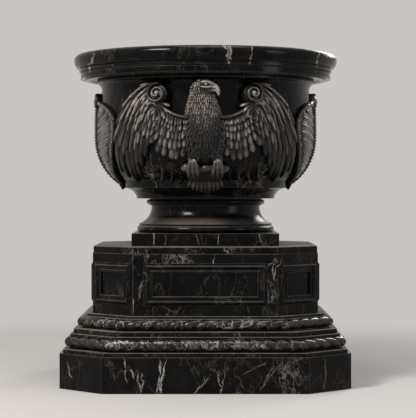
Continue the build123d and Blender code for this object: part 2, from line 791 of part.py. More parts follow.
# Head turned to the right, with a hooked beak lofted through circles placed from the head's centre.
beak_stations = (
    ((20, -8, 4), (1, -0.2, -0.2), 16),
    ((38, -12, -4), (0.5, 0, -1), 7),
    ((42, -13, -18), (0, 0, -1), 2),
)


def eagle_body():
    foot_z = perch_z + toe_length / 2 + bed_clearance
    ovals = [level_oval(torso_foot_half, torso_foot_depth, foot_z)]
    ovals += [level_oval(half, depth, rise_z(rise)) for rise, half, depth in torso_levels]
    centre = Vector(-head_shift, -neck_radius - head_stand, neck_z - head_drop)
    rings = []
    for offset, facing, radius in beak_stations:
        rings.append(Plane(origin=centre + Vector(*offset), z_dir=facing) * Circle(radius))
    body = loft(ovals) + Pos(*centre) * Sphere(head_radius) + loft(rings)
    body += raised(web(), 0, web_depth)
    tail = feather_row(tail_roots, tail_tips, tail_count, tail_width, 0, tail_depth)
    return seated(body) + seated(tail)


# A branch that follows the wall, with two feet of three toes over it.
def perch():
    ring = Plane.XZ * Pos(wall_radius(perch_z) + perch_radius / 2, perch_z) * Circle(perch_radius)
    branch = Rot(0, 0, -90 - perch_span / 2) * revolve(ring, Axis.Z, perch_span)
    for foot in (-foot_spread, foot_spread):
        for spread in (-toe_pitch, 0, toe_pitch):
            toe = Pos(foot + spread, perch_z) * SlotOverall(toe_length, toe_width, 90)
            branch += raised(toe, 0, toe_depth)
    return seated(branch)


# Side ornament: an acanthus strap with a raised border and spine under a scroll knob.
strap_side = ((5, 82), (18.5, 84), (32, 74), (35.5, 57), (31.5, 36), (18, 13.5), (5.5, 3))
strap_lobe_roots = ((2, 66), (2, 45), (2, 12))
strap_lobe_tips = ((26, 76), (38, 45), (13, 12))
strap_spine = ((0, 84), (0, 8))
strap_knob_place = (0, 87)


def strap_leaf(border=0.0):
    places = [on_wall(place, 0) for place in strap_side]
    half_width = max(x for x, z in places)
    half_height = (places[0][1] - places[-1][1]) / 2
    middle = places[-1][1] + half_height
    across = 1 - border / half_width
    up = 1 - border / half_height
    side = Spline(*[(x * across, middle + (z - middle) * up) for x, z in places])
    other = mirror(side, Plane.YZ)
    return make_face(Curve([side, other, Line(side @ 0, other @ 0), Line(side @ 1, other @ 1)]))


def strap():
    solid = raised(strap_leaf(), 90, strap_depth)
    solid += raised(strap_leaf() - strap_leaf(strap_border), 90, strap_border_depth)
    for start in (0, 1):
        steps = [i / (strap_lobe_count - 1) for i in range(start, strap_lobe_count, 2)]
        lobes = [feather(on_wall(blend(strap_lobe_roots, t), 0), on_wall(blend(strap_lobe_tips, t), 0),
                         strap_lobe_width) for t in steps]
        lobes = Sketch() + lobes + [mirror(lobe, Plane.YZ) for lobe in lobes]
        solid += raised(lobes, 90, strap_border_depth - (start + 1) * feather_step / 2)
    spine = feather(on_wall(strap_spine[0], 0), on_wall(strap_spine[1], 0), strap_spine_width)
    solid += raised(spine, 90, strap_spine_depth)
    knob = Pos(*on_wall(strap_knob_place, 0)) * Circle(strap_knob_radius)
    solid += raised(knob, 90, strap_knob_depth)
    return seated(solid)


# Steel pins hold each carved relief to the wall behind it.
def pin(place, extra=0.0):
    turn, rise = place
    plane = face_plane(turn, wall_radius(rise_z(rise)), rise_z(rise))
    length = pin_in_wall + pin_in_relief + 2 * extra
    middle = (pin_in_relief - pin_in_wall) / 2
    return plane * Pos(0, 0, middle) * Cylinder(pin_radius + extra, length)


def pinned(shape, places):
    for place in places:
        shape -= pin(place, bed_clearance)
    return shape


body_pins = [(0, 42), (0, 73)]
perch_pins = [(-4, perch_rise), (4, perch_rise)]
left_wing_pins = [(-34, 80), (-45, 42)]
right_wing_pins = [(-turn, rise) for turn, rise in left_wing_pins]
eagle_pins = body_pins + perch_pins + left_wing_pins + right_wing_pins
strap_pins = [(90, 66), (90, 28)]
opposite_pins = [(turn + 180, rise) for turn, rise in eagle_pins + strap_pins]

back = Rot(0, 0, 180)
body = pinned(eagle_body(), body_pins)
branch = pinned(perch(), perch_pins)
wing = pinned(left_wing(), left_wing_pins)
side_strap = pinned(strap(), strap_pins)
pins_front = [pin(place) for place in eagle_pins]
pins_right = [pin(place) for place in strap_pins]
bowl = pinned(bowl, eagle_pins + strap_pins + opposite_pins)

# Courses, stem, bowl and rim.
keep(base_plinth, "base_plinth")
keep(lower_course, "lower_rope_course")
keep(upper_course, "upper_rope_course")
keep(lower_rope, "lower_rope_moulding")
keep(upper_rope, "upper_rope_moulding")
keep(die_block, "die_block")
keep(die_cap, "die_cap")
keep(socle_slab, "socle_slab")
keep(stem, "pedestal_stem")
keep(neck_ring, "neck_ring")
keep(bowl, "bowl")
keep(rim_bed_mould, "rim_bed_mould")
keep(rim_coping, "rim_coping")

# Dowels, one group to each bed.
keep(dowels(plinth_dowels, lower_course_z, dowel_radius, dowel_length), "dowels_plinth")
keep(dowels(course_dowels, upper_course_z, dowel_radius, short_dowel_length), "dowels_rope_courses")
keep(dowels(die_dowels, die_z, dowel_radius, short_dowel_length), "dowels_die")
keep(dowels(cap_dowels, cap_z, dowel_radius, short_dowel_length), "dowels_cap")
keep(dowels(socle_dowels, socle_z, dowel_radius, short_dowel_length), "dowels_socle")
keep(dowels(stem_dowels, stem_z, dowel_radius, short_dowel_length), "dowels_stem")
keep(dowels(ring_dowels, ring_z, dowel_radius, ring_dowel_length), "dowels_neck_ring")
keep(dowels(bowl_dowels, bowl_z, dowel_radius, ring_dowel_length), "dowels_bowl")
keep(dowels(rim_dowels, coping_z, dowel_radius, short_dowel_length), "dowels_rim")

# Reliefs and their pins.
for side, turn in {"front": Rot(0, 0, 0), "back": back}.items():
    keep(turn * body, f"eagle_body_{side}")
    keep(turn * wing, f"eagle_left_wing_{side}")
    keep(turn * mirror(wing, Plane.YZ), f"eagle_right_wing_{side}")
    keep(turn * branch, f"eagle_perch_{side}")
    keep(turn * Compound(children=pins_front), f"eagle_pins_{side}")
keep(side_strap, "leaf_strap_right")
keep(back * side_strap, "leaf_strap_left")
keep(Compound(children=pins_right + [back * one for one in pins_right]), "strap_pins")

# Drain.
keep(waste_flange, "waste_flange")
keep(waste_upper_seal, "waste_upper_seal")
keep(waste_lower_seal, "waste_lower_seal")
keep(waste_backnut, "waste_backnut")
keep(pipe_coupling, "pipe_coupling")
keep(waste_pipe, "waste_pipe")
keep(drain_plug, "drain_plug")
keep(plug_seal, "plug_seal")
keep(plug_knob, "plug_knob")
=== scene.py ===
import math

import bpy
import numpy as np
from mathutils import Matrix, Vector
from mathutils.bvhtree import BVHTree


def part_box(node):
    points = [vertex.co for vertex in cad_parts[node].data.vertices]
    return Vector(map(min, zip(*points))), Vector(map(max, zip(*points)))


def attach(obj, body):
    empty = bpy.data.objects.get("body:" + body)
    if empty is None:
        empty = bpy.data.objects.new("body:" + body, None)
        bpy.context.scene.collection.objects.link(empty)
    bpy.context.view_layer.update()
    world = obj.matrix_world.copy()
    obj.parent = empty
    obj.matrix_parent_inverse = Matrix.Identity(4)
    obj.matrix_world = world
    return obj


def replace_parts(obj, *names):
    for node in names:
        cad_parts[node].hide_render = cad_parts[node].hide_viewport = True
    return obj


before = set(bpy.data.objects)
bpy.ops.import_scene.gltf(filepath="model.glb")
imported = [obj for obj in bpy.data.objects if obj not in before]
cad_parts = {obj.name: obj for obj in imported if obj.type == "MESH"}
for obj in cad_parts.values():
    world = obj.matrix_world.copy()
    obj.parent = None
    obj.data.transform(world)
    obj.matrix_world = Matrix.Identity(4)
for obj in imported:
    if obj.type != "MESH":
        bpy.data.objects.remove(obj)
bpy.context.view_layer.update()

print("frame loaded:", len(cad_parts), "nodes")
shaping = np.random.default_rng(7)


# small helpers for node trees
def addNode(tree, kind, **values):
    node = tree.nodes.new(kind)
    for name, value in values.items():
        if name in node.inputs:
            node.inputs[name].default_value = value
        else:
            setattr(node, name, value)
    return node


def join(tree, source, target):
    tree.links.new(source, target)


def fill(tree, socket, value):
    if isinstance(value, bpy.types.NodeSocket):
        join(tree, value, socket)
    elif value is not None:
        socket.default_value = value


def mathNode(tree, operation, first, second=None, clamp=False):
    node = addNode(tree, "ShaderNodeMath", operation=operation, use_clamp=clamp)
    fill(tree, node.inputs[0], first)
    fill(tree, node.inputs[1], second)
    return node.outputs[0]


def times(tree, first, second, clamp=False):
    return mathNode(tree, "MULTIPLY", first, second, clamp)


def plus(tree, first, second, clamp=False):
    return mathNode(tree, "ADD", first, second, clamp)


def minus(tree, first, second, clamp=False):
    return mathNode(tree, "SUBTRACT", first, second, clamp)


def vectorNode(tree, operation, *values):
    node = addNode(tree, "ShaderNodeVectorMath", operation=operation)
    for socket, value in zip(node.inputs, values):
        fill(tree, socket, value)
    return node.outputs["Value" if operation in ("DOT_PRODUCT", "LENGTH") else "Vector"]


def splitNode(tree, vector):
    parts = addNode(tree, "ShaderNodeSeparateXYZ")
    join(tree, vector, parts.inputs[0])
    return parts.outputs


def noiseNode(tree, vector, scale, detail, roughness=0.5, distortion=0.0):
    node = addNode(tree, "ShaderNodeTexNoise", Scale=scale, Detail=detail, Roughness=roughness,
                   Distortion=distortion)
    join(tree, vector, node.inputs["Vector"])
    return node


def objectPlace(tree):
    return addNode(tree, "ShaderNodeTexCoord").outputs["Object"]


def rampNode(tree, source, stops):
    node = addNode(tree, "ShaderNodeValToRGB")
    ramp = node.color_ramp
    while len(ramp.elements) < len(stops):
        ramp.elements.new(0.5)
    for element, (place, tone) in zip(ramp.elements, stops):
        element.position = place
        element.color = (tone, tone, tone, 1)
    join(tree, source, node.inputs["Fac"])
    return node.outputs["Color"]


def riseNode(tree, source, low, high):
    return rampNode(tree, source, [(low, 0.0), (high, 1.0)])


def bumpNode(tree, height, strength, distance, normal=None):
    node = addNode(tree, "ShaderNodeBump", Strength=strength, Distance=distance)
    fill(tree, node.inputs["Height"], height)
    if normal:
        join(tree, normal, node.inputs["Normal"])
    return node.outputs[0]


def mixColour(tree, mask, first, second):
    node = addNode(tree, "ShaderNodeMix", data_type="RGBA")
    for slot, value in ((0, mask), (6, first), (7, second)):
        fill(tree, node.inputs[slot], (*value, 1) if isinstance(value, tuple) else value)
    return node.outputs[2]


def newGroup(name, inputs, outputs):
    tree = bpy.data.node_groups.new(name, "ShaderNodeTree")
    for label, kind, value in inputs:
        socket = tree.interface.new_socket(label, in_out="INPUT", socket_type="NodeSocket" + kind)
        socket.default_value = value
    for label, kind in outputs:
        tree.interface.new_socket(label, in_out="OUTPUT", socket_type="NodeSocket" + kind)
    return tree, tree.nodes.new("NodeGroupInput"), tree.nodes.new("NodeGroupOutput")


def placeGroup(tree, group, **values):
    node = tree.nodes.new("ShaderNodeGroup")
    node.node_tree = group
    for name, value in values.items():
        fill(tree, node.inputs[name], value)
    return node


def newMaterial(name, specular):
    material = bpy.data.materials.new(name)
    material.use_nodes = True
    tree = material.node_tree
    tree.nodes.clear()
    shader = addNode(tree, "ShaderNodeBsdfPrincipled")
    shader.inputs["Specular IOR Level"].default_value = specular
    output = addNode(tree, "ShaderNodeOutputMaterial")
    join(tree, shader.outputs[0], output.inputs["Surface"])
    return material, tree, shader


# noises are scale, detail, roughness; a wisp is scale, width, level, stretch
# and cracks are scale, width, stretch
veinPattern = {
    "warp": (8.0, 8.0, 0.62),
    "warpReach": (0.16, 0.16, 0.16),
    "wispGrain": (6.0, 0.60, 0.3),
    "broad": ((4.6, 0.0060, 0.47, (1.0, 1.0, 0.45)), (6.4, 0.0050, 0.56, (1.1, 1.0, 0.6))),
    "fine": (9.0, 0.0060, 0.50, (1.0, 1.0, 0.6)),
    "cracks": (11.0, 0.018, (1.0, 1.0, 0.6)),
    "fineShare": 0.5,
    "patch": (5.5, 3.0),
    "patchLevel": 0.62,
    "densityReach": 0.22,
    "patchGain": 8.0,
    "everywhere": 0.2,
    "clouds": (14.0, 6.0, 0.62),
    "cloudTones": (0.42, 0.78),
    "tint": (7.0, 2.0),
    "tintTones": (0.40, 0.62),
    "specks": (240.0, 3.0, 0.7),
    "speckTones": (0.56, 0.72),
}


# veins and clouds that run through the stone, the same from every side
def buildVeinGroup():
    tree, given, out = newGroup(
        "marbleVeins", [("Offset", "Vector", (0, 0, 0)), ("Density", "Float", 0.5)],
        [("Veins", "Float"), ("Haze", "Float"), ("Warmth", "Float"), ("Speck", "Float")])
    place = objectPlace(tree)
    shifted = vectorNode(tree, "ADD", place, given.outputs["Offset"])
    warp = noiseNode(tree, shifted, *veinPattern["warp"])
    bent = vectorNode(tree, "MULTIPLY_ADD", warp.outputs["Color"], veinPattern["warpReach"], shifted)

    def cracks(scale, width, stretch):
        cells = addNode(tree, "ShaderNodeTexVoronoi", feature="DISTANCE_TO_EDGE", Scale=scale)
        join(tree, vectorNode(tree, "MULTIPLY", bent, stretch), cells.inputs["Vector"])
        return rampNode(tree, cells.outputs["Distance"], [(0.0, 1.0), (width * 0.35, 0.55), (width, 0.0)])

    def wisps(scale, width, level, stretch):
        squashed = vectorNode(tree, "MULTIPLY", shifted, stretch)
        field = noiseNode(tree, squashed, scale, *veinPattern["wispGrain"]).outputs["Fac"]
        far = mathNode(tree, "ABSOLUTE", minus(tree, field, level))
        return rampNode(tree, far, [(0.0, 1.0), (width * 0.4, 0.6), (width, 0.0)])

    broad = mathNode(tree, "MAXIMUM", *(wisps(*values) for values in veinPattern["broad"]))
    fine = mathNode(tree, "MAXIMUM", wisps(*veinPattern["fine"]), cracks(*veinPattern["cracks"]))
    patch = noiseNode(tree, shifted, *veinPattern["patch"]).outputs["Fac"]
    asked = times(tree, given.outputs["Density"], veinPattern["densityReach"])
    bare = minus(tree, veinPattern["patchLevel"], asked)
    where = times(tree, minus(tree, patch, bare), veinPattern["patchGain"], clamp=True)
    spread = plus(tree, times(tree, where, 1 - veinPattern["everywhere"]), veinPattern["everywhere"])
    fine = times(tree, times(tree, fine, veinPattern["fineShare"]), where)
    join(tree, mathNode(tree, "MAXIMUM", times(tree, broad, spread), fine), out.inputs["Veins"])
    extras = (("Haze", bent, "clouds", "cloudTones"), ("Warmth", shifted, "tint", "tintTones"),
              ("Speck", place, "specks", "speckTones"))
    for label, source, pattern, tones in extras:
        field = noiseNode(tree, source, *veinPattern[pattern]).outputs["Fac"]
        join(tree, riseNode(tree, field, *veinPattern[tones]), out.inputs[label])
    return tree


strokePattern = {
    "wobble": (15.0, 9.0, 0.66),
    "wobbleGain": 5.0,
    "breaks": (46.0, 4.0, 0.7),
    "breakLevel": 0.30,
    "swell": 4.5,
    "thinnest": 0.12,
    "footFade": 6.0,
    "headFade": 4.0,
}


# one sheet-like vein, put where the block shows it and leaning to one side
def buildStrokeGroup():
    tree, given, out = newGroup(
        "placedVein",
        [("Foot", "Vector", (0, 0, 0)), ("Lean", "Float", 0.0), ("Height", "Float", 0.1),
         ("Width", "Float", 0.003), ("Wander", "Float", 0.006), ("Fork", "Float", 0.0)],
        [("Mask", "Float")])
    asked = given.outputs
    place = objectPlace(tree)
    parts = splitNode(tree, vectorNode(tree, "SUBTRACT", place, asked["Foot"]))
    across, up = parts["X"], parts["Z"]
    centred = minus(tree, noiseNode(tree, place, *strokePattern["wobble"]).outputs["Fac"], 0.5)
    drift = times(tree, centred, times(tree, asked["Wander"], strokePattern["wobbleGain"]))
    offset = plus(tree, minus(tree, across, times(tree, up, asked["Lean"])), drift)
    forked = minus(tree, mathNode(tree, "ABSOLUTE", offset), times(tree, asked["Fork"], up))
    far = mathNode(tree, "ABSOLUTE", forked)
    breaks = noiseNode(tree, place, *strokePattern["breaks"]).outputs["Fac"]
    swell = times(tree, minus(tree, breaks, strokePattern["breakLevel"]), strokePattern["swell"])
    thick = times(tree, asked["Width"], mathNode(tree, "MAXIMUM", swell, strokePattern["thinnest"]))
    core = minus(tree, 1.0, mathNode(tree, "DIVIDE", far, thick), clamp=True)
    share = mathNode(tree, "DIVIDE", up, asked["Height"])
    inside = times(tree, times(tree, share, strokePattern["footFade"], clamp=True),
                   times(tree, minus(tree, 1.0, share), strokePattern["headFade"], clamp=True))
    join(tree, times(tree, core, inside), out.inputs["Mask"])
    return tree


edgeLightAndLedge = {
    "samples": 4,
    "gain": 6.0,
    "ledge": (0.55, 0.95),
}


# painted highlight on edges, from how far a small rounding turns the surface, and up-facing ledges that take
# dust and a painted top light
def buildEdgeGroup():
    tree, given, out = newGroup(
        "edgeHighlights", [("Radius", "Float", 0.002), ("Gain", "Float", 1.0)],
        [("EdgeHighlight", "Float"), ("Ledge", "Float"), ("Normal", "Vector")])
    bevel = addNode(tree, "ShaderNodeBevel", samples=edgeLightAndLedge["samples"])
    join(tree, given.outputs["Radius"], bevel.inputs["Radius"])
    surface = addNode(tree, "ShaderNodeNewGeometry").outputs["Normal"]
    turn = minus(tree, 1.0, vectorNode(tree, "DOT_PRODUCT", bevel.outputs[0], surface))
    edge = times(tree, times(tree, turn, edgeLightAndLedge["gain"]), given.outputs["Gain"], clamp=True)
    join(tree, edge, out.inputs["EdgeHighlight"])
    join(tree, riseNode(tree, splitNode(tree, surface)["Z"], *edgeLightAndLedge["ledge"]), out.inputs["Ledge"])
    join(tree, bevel.outputs[0], out.inputs["Normal"])
    return tree


veinGroup = buildVeinGroup()
strokeGroup = buildStrokeGroup()
edgeGroup = buildEdgeGroup()

stone = {
    "ground": (0.0018, 0.0019, 0.0021),
    "haze": (0.0088, 0.0083, 0.0078),
    "white": (0.56, 0.54, 0.50),
    "tan": (0.30, 0.235, 0.175),
    "arrisHighlight": (0.300, 0.265, 0.230),
    "dustAndTopLight": (0.210, 0.180, 0.150),
    "specular": 0.10,
    "hairline": 0.45,
    "veinShow": 0.9,
    "edgeGain": 1.2,
    "dustBetween": 0.4,
    "smear": 0.12,
    "dustRough": 0.6,
    "bump": (0.02, 0.002),
}


# polished near-black marble, one block at a time
def marble(name, offset, density=0.45, rough=0.17, edge=0.35, dustAndTopLight=0.25, strokes=(), radius=0.0026,
           hairline=stone["hairline"]):
    material, tree, shader = newMaterial(name, stone["specular"])
    veins = placeGroup(tree, veinGroup, Offset=offset, Density=density).outputs
    edges = placeGroup(tree, edgeGroup, Radius=radius, Gain=stone["edgeGain"]).outputs
    mask = times(tree, veins["Veins"], hairline)
    for sheet in strokes:
        mask = mathNode(tree, "MAXIMUM", mask, placeGroup(tree, strokeGroup, **sheet).outputs["Mask"])
    body = mixColour(tree, veins["Haze"], stone["ground"], stone["haze"])
    veinTone = mixColour(tree, veins["Warmth"], stone["white"], stone["tan"])
    colour = mixColour(tree, times(tree, mask, stone["veinShow"]), body, veinTone)
    # painted highlight along the edges
    colour = mixColour(tree, times(tree, edges["EdgeHighlight"], edge), colour, stone["arrisHighlight"])
    # up-facing ledges: dust together with a painted top light, lighter where light falls from above
    patches = plus(tree, times(tree, veins["Haze"], 1 - stone["dustBetween"]), stone["dustBetween"])
    dustAndTopLightMask = times(tree, times(tree, edges["Ledge"], patches), dustAndTopLight)
    join(tree, mixColour(tree, dustAndTopLightMask, colour, stone["dustAndTopLight"]), shader.inputs["Base Color"])
    polish = plus(tree, times(tree, veins["Haze"], stone["smear"]), rough)
    polish = plus(tree, polish, times(tree, dustAndTopLightMask, stone["dustRough"]), clamp=True)
    join(tree, polish, shader.inputs["Roughness"])
    relief = bumpNode(tree, plus(tree, veins["Speck"], mask), *stone["bump"], edges["Normal"])
    join(tree, relief, shader.inputs["Normal"])
    return material


# carved marble: satin, with a painted highlight, lighter and warmer, where it stands proud, and painted
# shade, dark, in the cuts
carvedStone = {
    "body": (0.0150, 0.0137, 0.0126),
    "cloud": (0.036, 0.032, 0.029),
    "proud": (0.400, 0.356, 0.316),
    "cut": (0.0012, 0.0012, 0.0013),
    "specular": 0.35,
    "rough": 0.24,
    "cutRough": 0.35,
    "cutShow": 0.95,
    "grain": (70.0, 5.0, 0.65),
    "crestHighlight": ((0.36, 0.0), (0.88, 1.0)),
    "patchy": ((0.34, 0.30), (0.60, 1.0)),
    "highlightByHeight": ((0.58, 0.12), (0.66, 0.34), (0.80, 1.0)),  # by height: the painted highlight is weak low down and full on the upper carving
    "cutShadeMask": ((0.10, 1.0), (0.46, 0.0)),
    "bump": (0.20, 0.001),
}


def carvedMarble(name, offset, density=0.2, gain=1.0, hairline=0.3, shade=1.0):
    material, tree, shader = newMaterial(name, carvedStone["specular"])
    veins = placeGroup(tree, veinGroup, Offset=offset, Density=density).outputs
    place = objectPlace(tree)
    grain = noiseNode(tree, place, *carvedStone["grain"]).outputs["Fac"]
    marked = addNode(tree, "ShaderNodeAttribute", attribute_type="GEOMETRY", attribute_name="wearAndPaintedLight")
    crowns = marked.outputs["Fac"]
    # painted highlight on the crests, scaled by height
    crestHighlight = times(tree, rampNode(tree, crowns, carvedStone["crestHighlight"]),
                   rampNode(tree, grain, carvedStone["patchy"]))
    highlightByHeight = rampNode(tree, splitNode(tree, place)["Z"], carvedStone["highlightByHeight"])
    wearAndPaintedLight = times(tree, crestHighlight, times(tree, highlightByHeight, gain), clamp=True)
    # painted shade in the cuts and between feathers
    cutShadeMask = rampNode(tree, crowns, carvedStone["cutShadeMask"])
    ground, cloud = (tuple(shade * part for part in carvedStone[key]) for key in ("body", "cloud"))
    body = mixColour(tree, veins["Haze"], ground, cloud)
    veinTone = mixColour(tree, veins["Warmth"], stone["white"], stone["tan"])
    colour = mixColour(tree, times(tree, veins["Veins"], hairline), body, veinTone)
    colour = mixColour(tree, wearAndPaintedLight, colour, carvedStone["proud"])
    colour = mixColour(tree, times(tree, cutShadeMask, carvedStone["cutShow"]), colour, carvedStone["cut"])
    join(tree, colour, shader.inputs["Base Color"])
    roughness = plus(tree, carvedStone["rough"], times(tree, cutShadeMask, carvedStone["cutRough"]), clamp=True)
    join(tree, roughness, shader.inputs["Roughness"])
    join(tree, bumpNode(tree, grain, *carvedStone["bump"]), shader.inputs["Normal"])
    return material


plain = {
    "specular": 0.5,
    "grain": (6.0, 0.6),
    "spots": (0.45, 0.70),
    "spotRough": 0.2,
    "bump": (0.1, 0.0005),
}


# metal and rubber of the drain
def plainFinish(name, colour, wearAndPaintedLight, metallic, rough, grainScale):
    material, tree, shader = newMaterial(name, plain["specular"])
    shader.inputs["Metallic"].default_value = metallic
    grain = noiseNode(tree, objectPlace(tree), grainScale, *plain["grain"]).outputs["Fac"]
    spots = riseNode(tree, grain, *plain["spots"])
    join(tree, mixColour(tree, spots, colour, wearAndPaintedLight), shader.inputs["Base Color"])
    join(tree, plus(tree, times(tree, spots, plain["spotRough"]), rough), shader.inputs["Roughness"])
    join(tree, bumpNode(tree, grain, *plain["bump"]), shader.inputs["Normal"])
    return material


# a vein by the foot of its sheet across the front and up, its height, and how it leans and wanders
def stroke(x, z, height, width, lean, wander, fork=0.0):
    return {"Foot": (x, 0.0, z), "Height": height, "Width": width, "Lean": lean, "Wander": wander,
            "Fork": fork}


plinthStrokes = [
    stroke(-0.121, 0.0, 0.100, 0.0024, 0.02, 0.012, 0.10),
    stroke(-0.132, 0.0, 0.090, 0.0016, 0.14, 0.010),
    stroke(-0.178, 0.0, 0.062, 0.0018, 0.10, 0.012, 0.12),
    stroke(-0.190, 0.040, 0.030, 0.0024, -0.50, 0.010),
    stroke(-0.210, 0.028, 0.072, 0.0016, -0.25, 0.012),
    stroke(-0.030, 0.0, 0.050, 0.0018, 0.70, 0.012, 0.10),
    stroke(0.043, 0.0, 0.070, 0.0016, 0.05, 0.012, 0.15),
    stroke(0.331, 0.0, 0.098, 0.0020, -0.03, 0.010),
    stroke(0.100, 0.050, 0.042, 0.0018, 1.6, 0.016),
    stroke(0.155, 0.010, 0.070, 0.0014, 0.6, 0.014, 0.10),
    stroke(0.215, 0.060, 0.030, 0.0018, 0.5, 0.010),
    stroke(-0.372, 0.030, 0.050, 0.0016, -0.45, 0.010),
]
dieStrokes = [
    stroke(-0.204, 0.215, 0.045, 0.0018, 0.03, 0.008),
    stroke(0.008, 0.338, 0.045, 0.0018, 0.75, 0.016),
    stroke(0.190, 0.305, 0.070, 0.0020, 0.10, 0.018, 0.15),
    stroke(0.176, 0.345, 0.030, 0.0016, 0.5, 0.012),
    stroke(-0.185, 0.250, 0.100, 0.0012, 0.35, 0.016, 0.10),
]
socleStrokes = [
    stroke(-0.152, 0.402, 0.040, 0.0016, 0.05, 0.006),
    stroke(-0.118, 0.402, 0.034, 0.0009, 0.10, 0.006),
    stroke(-0.020, 0.402, 0.036, 0.0010, -0.20, 0.006),
    stroke(0.036, 0.402, 0.040, 0.0012, 0.12, 0.006),
    stroke(0.160, 0.402, 0.040, 0.0013, -0.08, 0.006),
]
rimStrokes = [
    stroke(0.066, 0.905, 0.062, 0.0036, 0.0, 0.012, 0.12),
    stroke(0.074, 0.912, 0.055, 0.0018, -0.2, 0.012),
    stroke(0.122, 0.905, 0.062, 0.0030, 0.05, 0.010),
    stroke(-0.330, 0.900, 0.070, 0.0036, 0.10, 0.014, 0.08),
    stroke(0.318, 0.895, 0.075, 0.0034, 0.10, 0.014),
]
finishes = {
    "plinth": marble("plinthMarble", (0.0, 0.0, 0.0), 0.46, 0.20, strokes=plinthStrokes),
    "rope": marble("ropeCourseMarble", (0.7, 0.2, 0.0), 0.70, 0.26, edge=0.7, dustAndTopLight=1.0),
    "die": marble("dieMarble", (1.3, 0.4, 0.3), 0.42, 0.18, strokes=dieStrokes),
    "frame": marble("panelFrameMarble", (2.1, 0.1, 0.6), 0.34, 0.20, edge=0.36, dustAndTopLight=0.75, radius=0.0010),
    "panel": marble("panelMarble", (2.6, 0.9, 0.1), 0.42, 0.14),
    "cap": marble("capMarble", (3.2, 0.3, 0.7), 0.55, 0.22, edge=0.6, dustAndTopLight=1.0),
    "socle": marble("socleMarble", (3.9, 0.8, 0.2), 0.50, 0.20, strokes=socleStrokes),
    "stem": marble("stemMarble", (4.4, 0.5, 0.9), 0.45, 0.16, dustAndTopLight=0.85),
    "bowl": marble("bowlMarble", (5.1, 0.2, 0.4), 0.32, 0.17),
    "rim": marble("rimMarble", (5.3, 1.9, 0.25), 0.30, 0.13, strokes=rimStrokes, hairline=0.35),
    "carved": carvedMarble("carvedMarble", (6.4, 0.7, 0.8)),
    "strap": carvedMarble("strapMarble", (7.2, 0.1, 0.3), gain=0.42),
    "strand": carvedMarble("strandMarble", (7.9, 0.4, 0.6), 1.0, gain=0.35, hairline=0.85, shade=0.30),
    "brass": plainFinish("agedBrass", (0.55, 0.40, 0.17), (0.22, 0.15, 0.07), 1.0, 0.30, 90.0),
    "steel": plainFinish("pinSteel", (0.50, 0.50, 0.51), (0.36, 0.36, 0.37), 1.0, 0.30, 160.0),
    "rubber": plainFinish("blackRubber", (0.020, 0.020, 0.020), (0.035, 0.035, 0.035), 0.0, 0.65, 220.0),
}
print("finishes ready:", len(finishes))

# how a node's name starts, and its finish: the first that fits holds
finishStarts = (
    ("panel_frame", "frame"), ("panel_", "panel"), ("dowels_", "steel"), ("eagle_pins", "steel"),
    ("strap_pins", "steel"), ("eagle_", "carved"), ("leaf_strap", "carved"), ("base_plinth", "plinth"),
    ("lower_rope", "rope"), ("upper_rope", "rope"), ("die_block", "die"), ("die_cap", "cap"),
    ("socle_slab", "socle"), ("pedestal_stem", "stem"), ("neck_ring", "stem"), ("bowl", "bowl"),
    ("rim_", "rim"), ("waste_upper_seal", "rubber"), ("waste_lower_seal", "rubber"), ("plug_seal", "rubber"),
    ("waste_", "brass"), ("pipe_coupling", "brass"), ("drain_plug", "brass"), ("plug_knob", "brass"),
)


def dressNodes():
    for node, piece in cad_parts.items():
        finish = next(finish for start, finish in finishStarts if node.startswith(start))
        piece.data.materials.clear()
        piece.data.materials.append(finishes[finish])


dressNodes()
print("nodes dressed")

# the bowl's wall as the frame has it: its radius at each height, looking in from outside
carving = {
    "low": 0.545,
    "high": 0.859,
    "levels": 120,
    "lookFrom": 1.0,
    "lookTurn": 62.0,
    "girthRadius": 0.330,
    "sunk": 0.0015,
    "slopeStep": 0.004,
    "slopeLimits": (-0.8, 1.2),
}


def readWall():
    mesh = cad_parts["bowl"].data
    tree = BVHTree.FromPolygons([tuple(vertex.co) for vertex in mesh.vertices],
                                [tuple(polygon.vertices) for polygon in mesh.polygons])
    turn = math.radians(carving["lookTurn"])
    inward = Vector((-math.sin(turn), math.cos(turn), 0))
    levels = np.linspace(carving["low"], carving["high"], carving["levels"])
    radii = []
    for level in levels:
        eye = Vector((0, 0, float(level))) - inward * carving["lookFrom"]
        hit = tree.ray_cast(eye, inward)[0]
        radii.append(math.hypot(hit.x, hit.y))
    return levels, np.array(radii)


wallLevels, wallRadii = readWall()


# a place on the wall: metres round from the front, height, and how far it stands out
def onWall(girth, z, out):
    girth, z, out = np.broadcast_arrays(girth, z, out)
    step = carving["slopeStep"]
    radius = np.interp(z, wallLevels, wallRadii)
    rise = np.interp(z + step, wallLevels, wallRadii) - np.interp(z - step, wallLevels, wallRadii)
    slope = (rise / (2 * step)).clip(*carving["slopeLimits"])
    length = np.sqrt(1 + slope ** 2)
    reach = radius + out / length
    turn = girth / carving["girthRadius"]
    return np.stack([reach * np.sin(turn), -reach * np.cos(turn), z - out * slope / length], axis=-1)


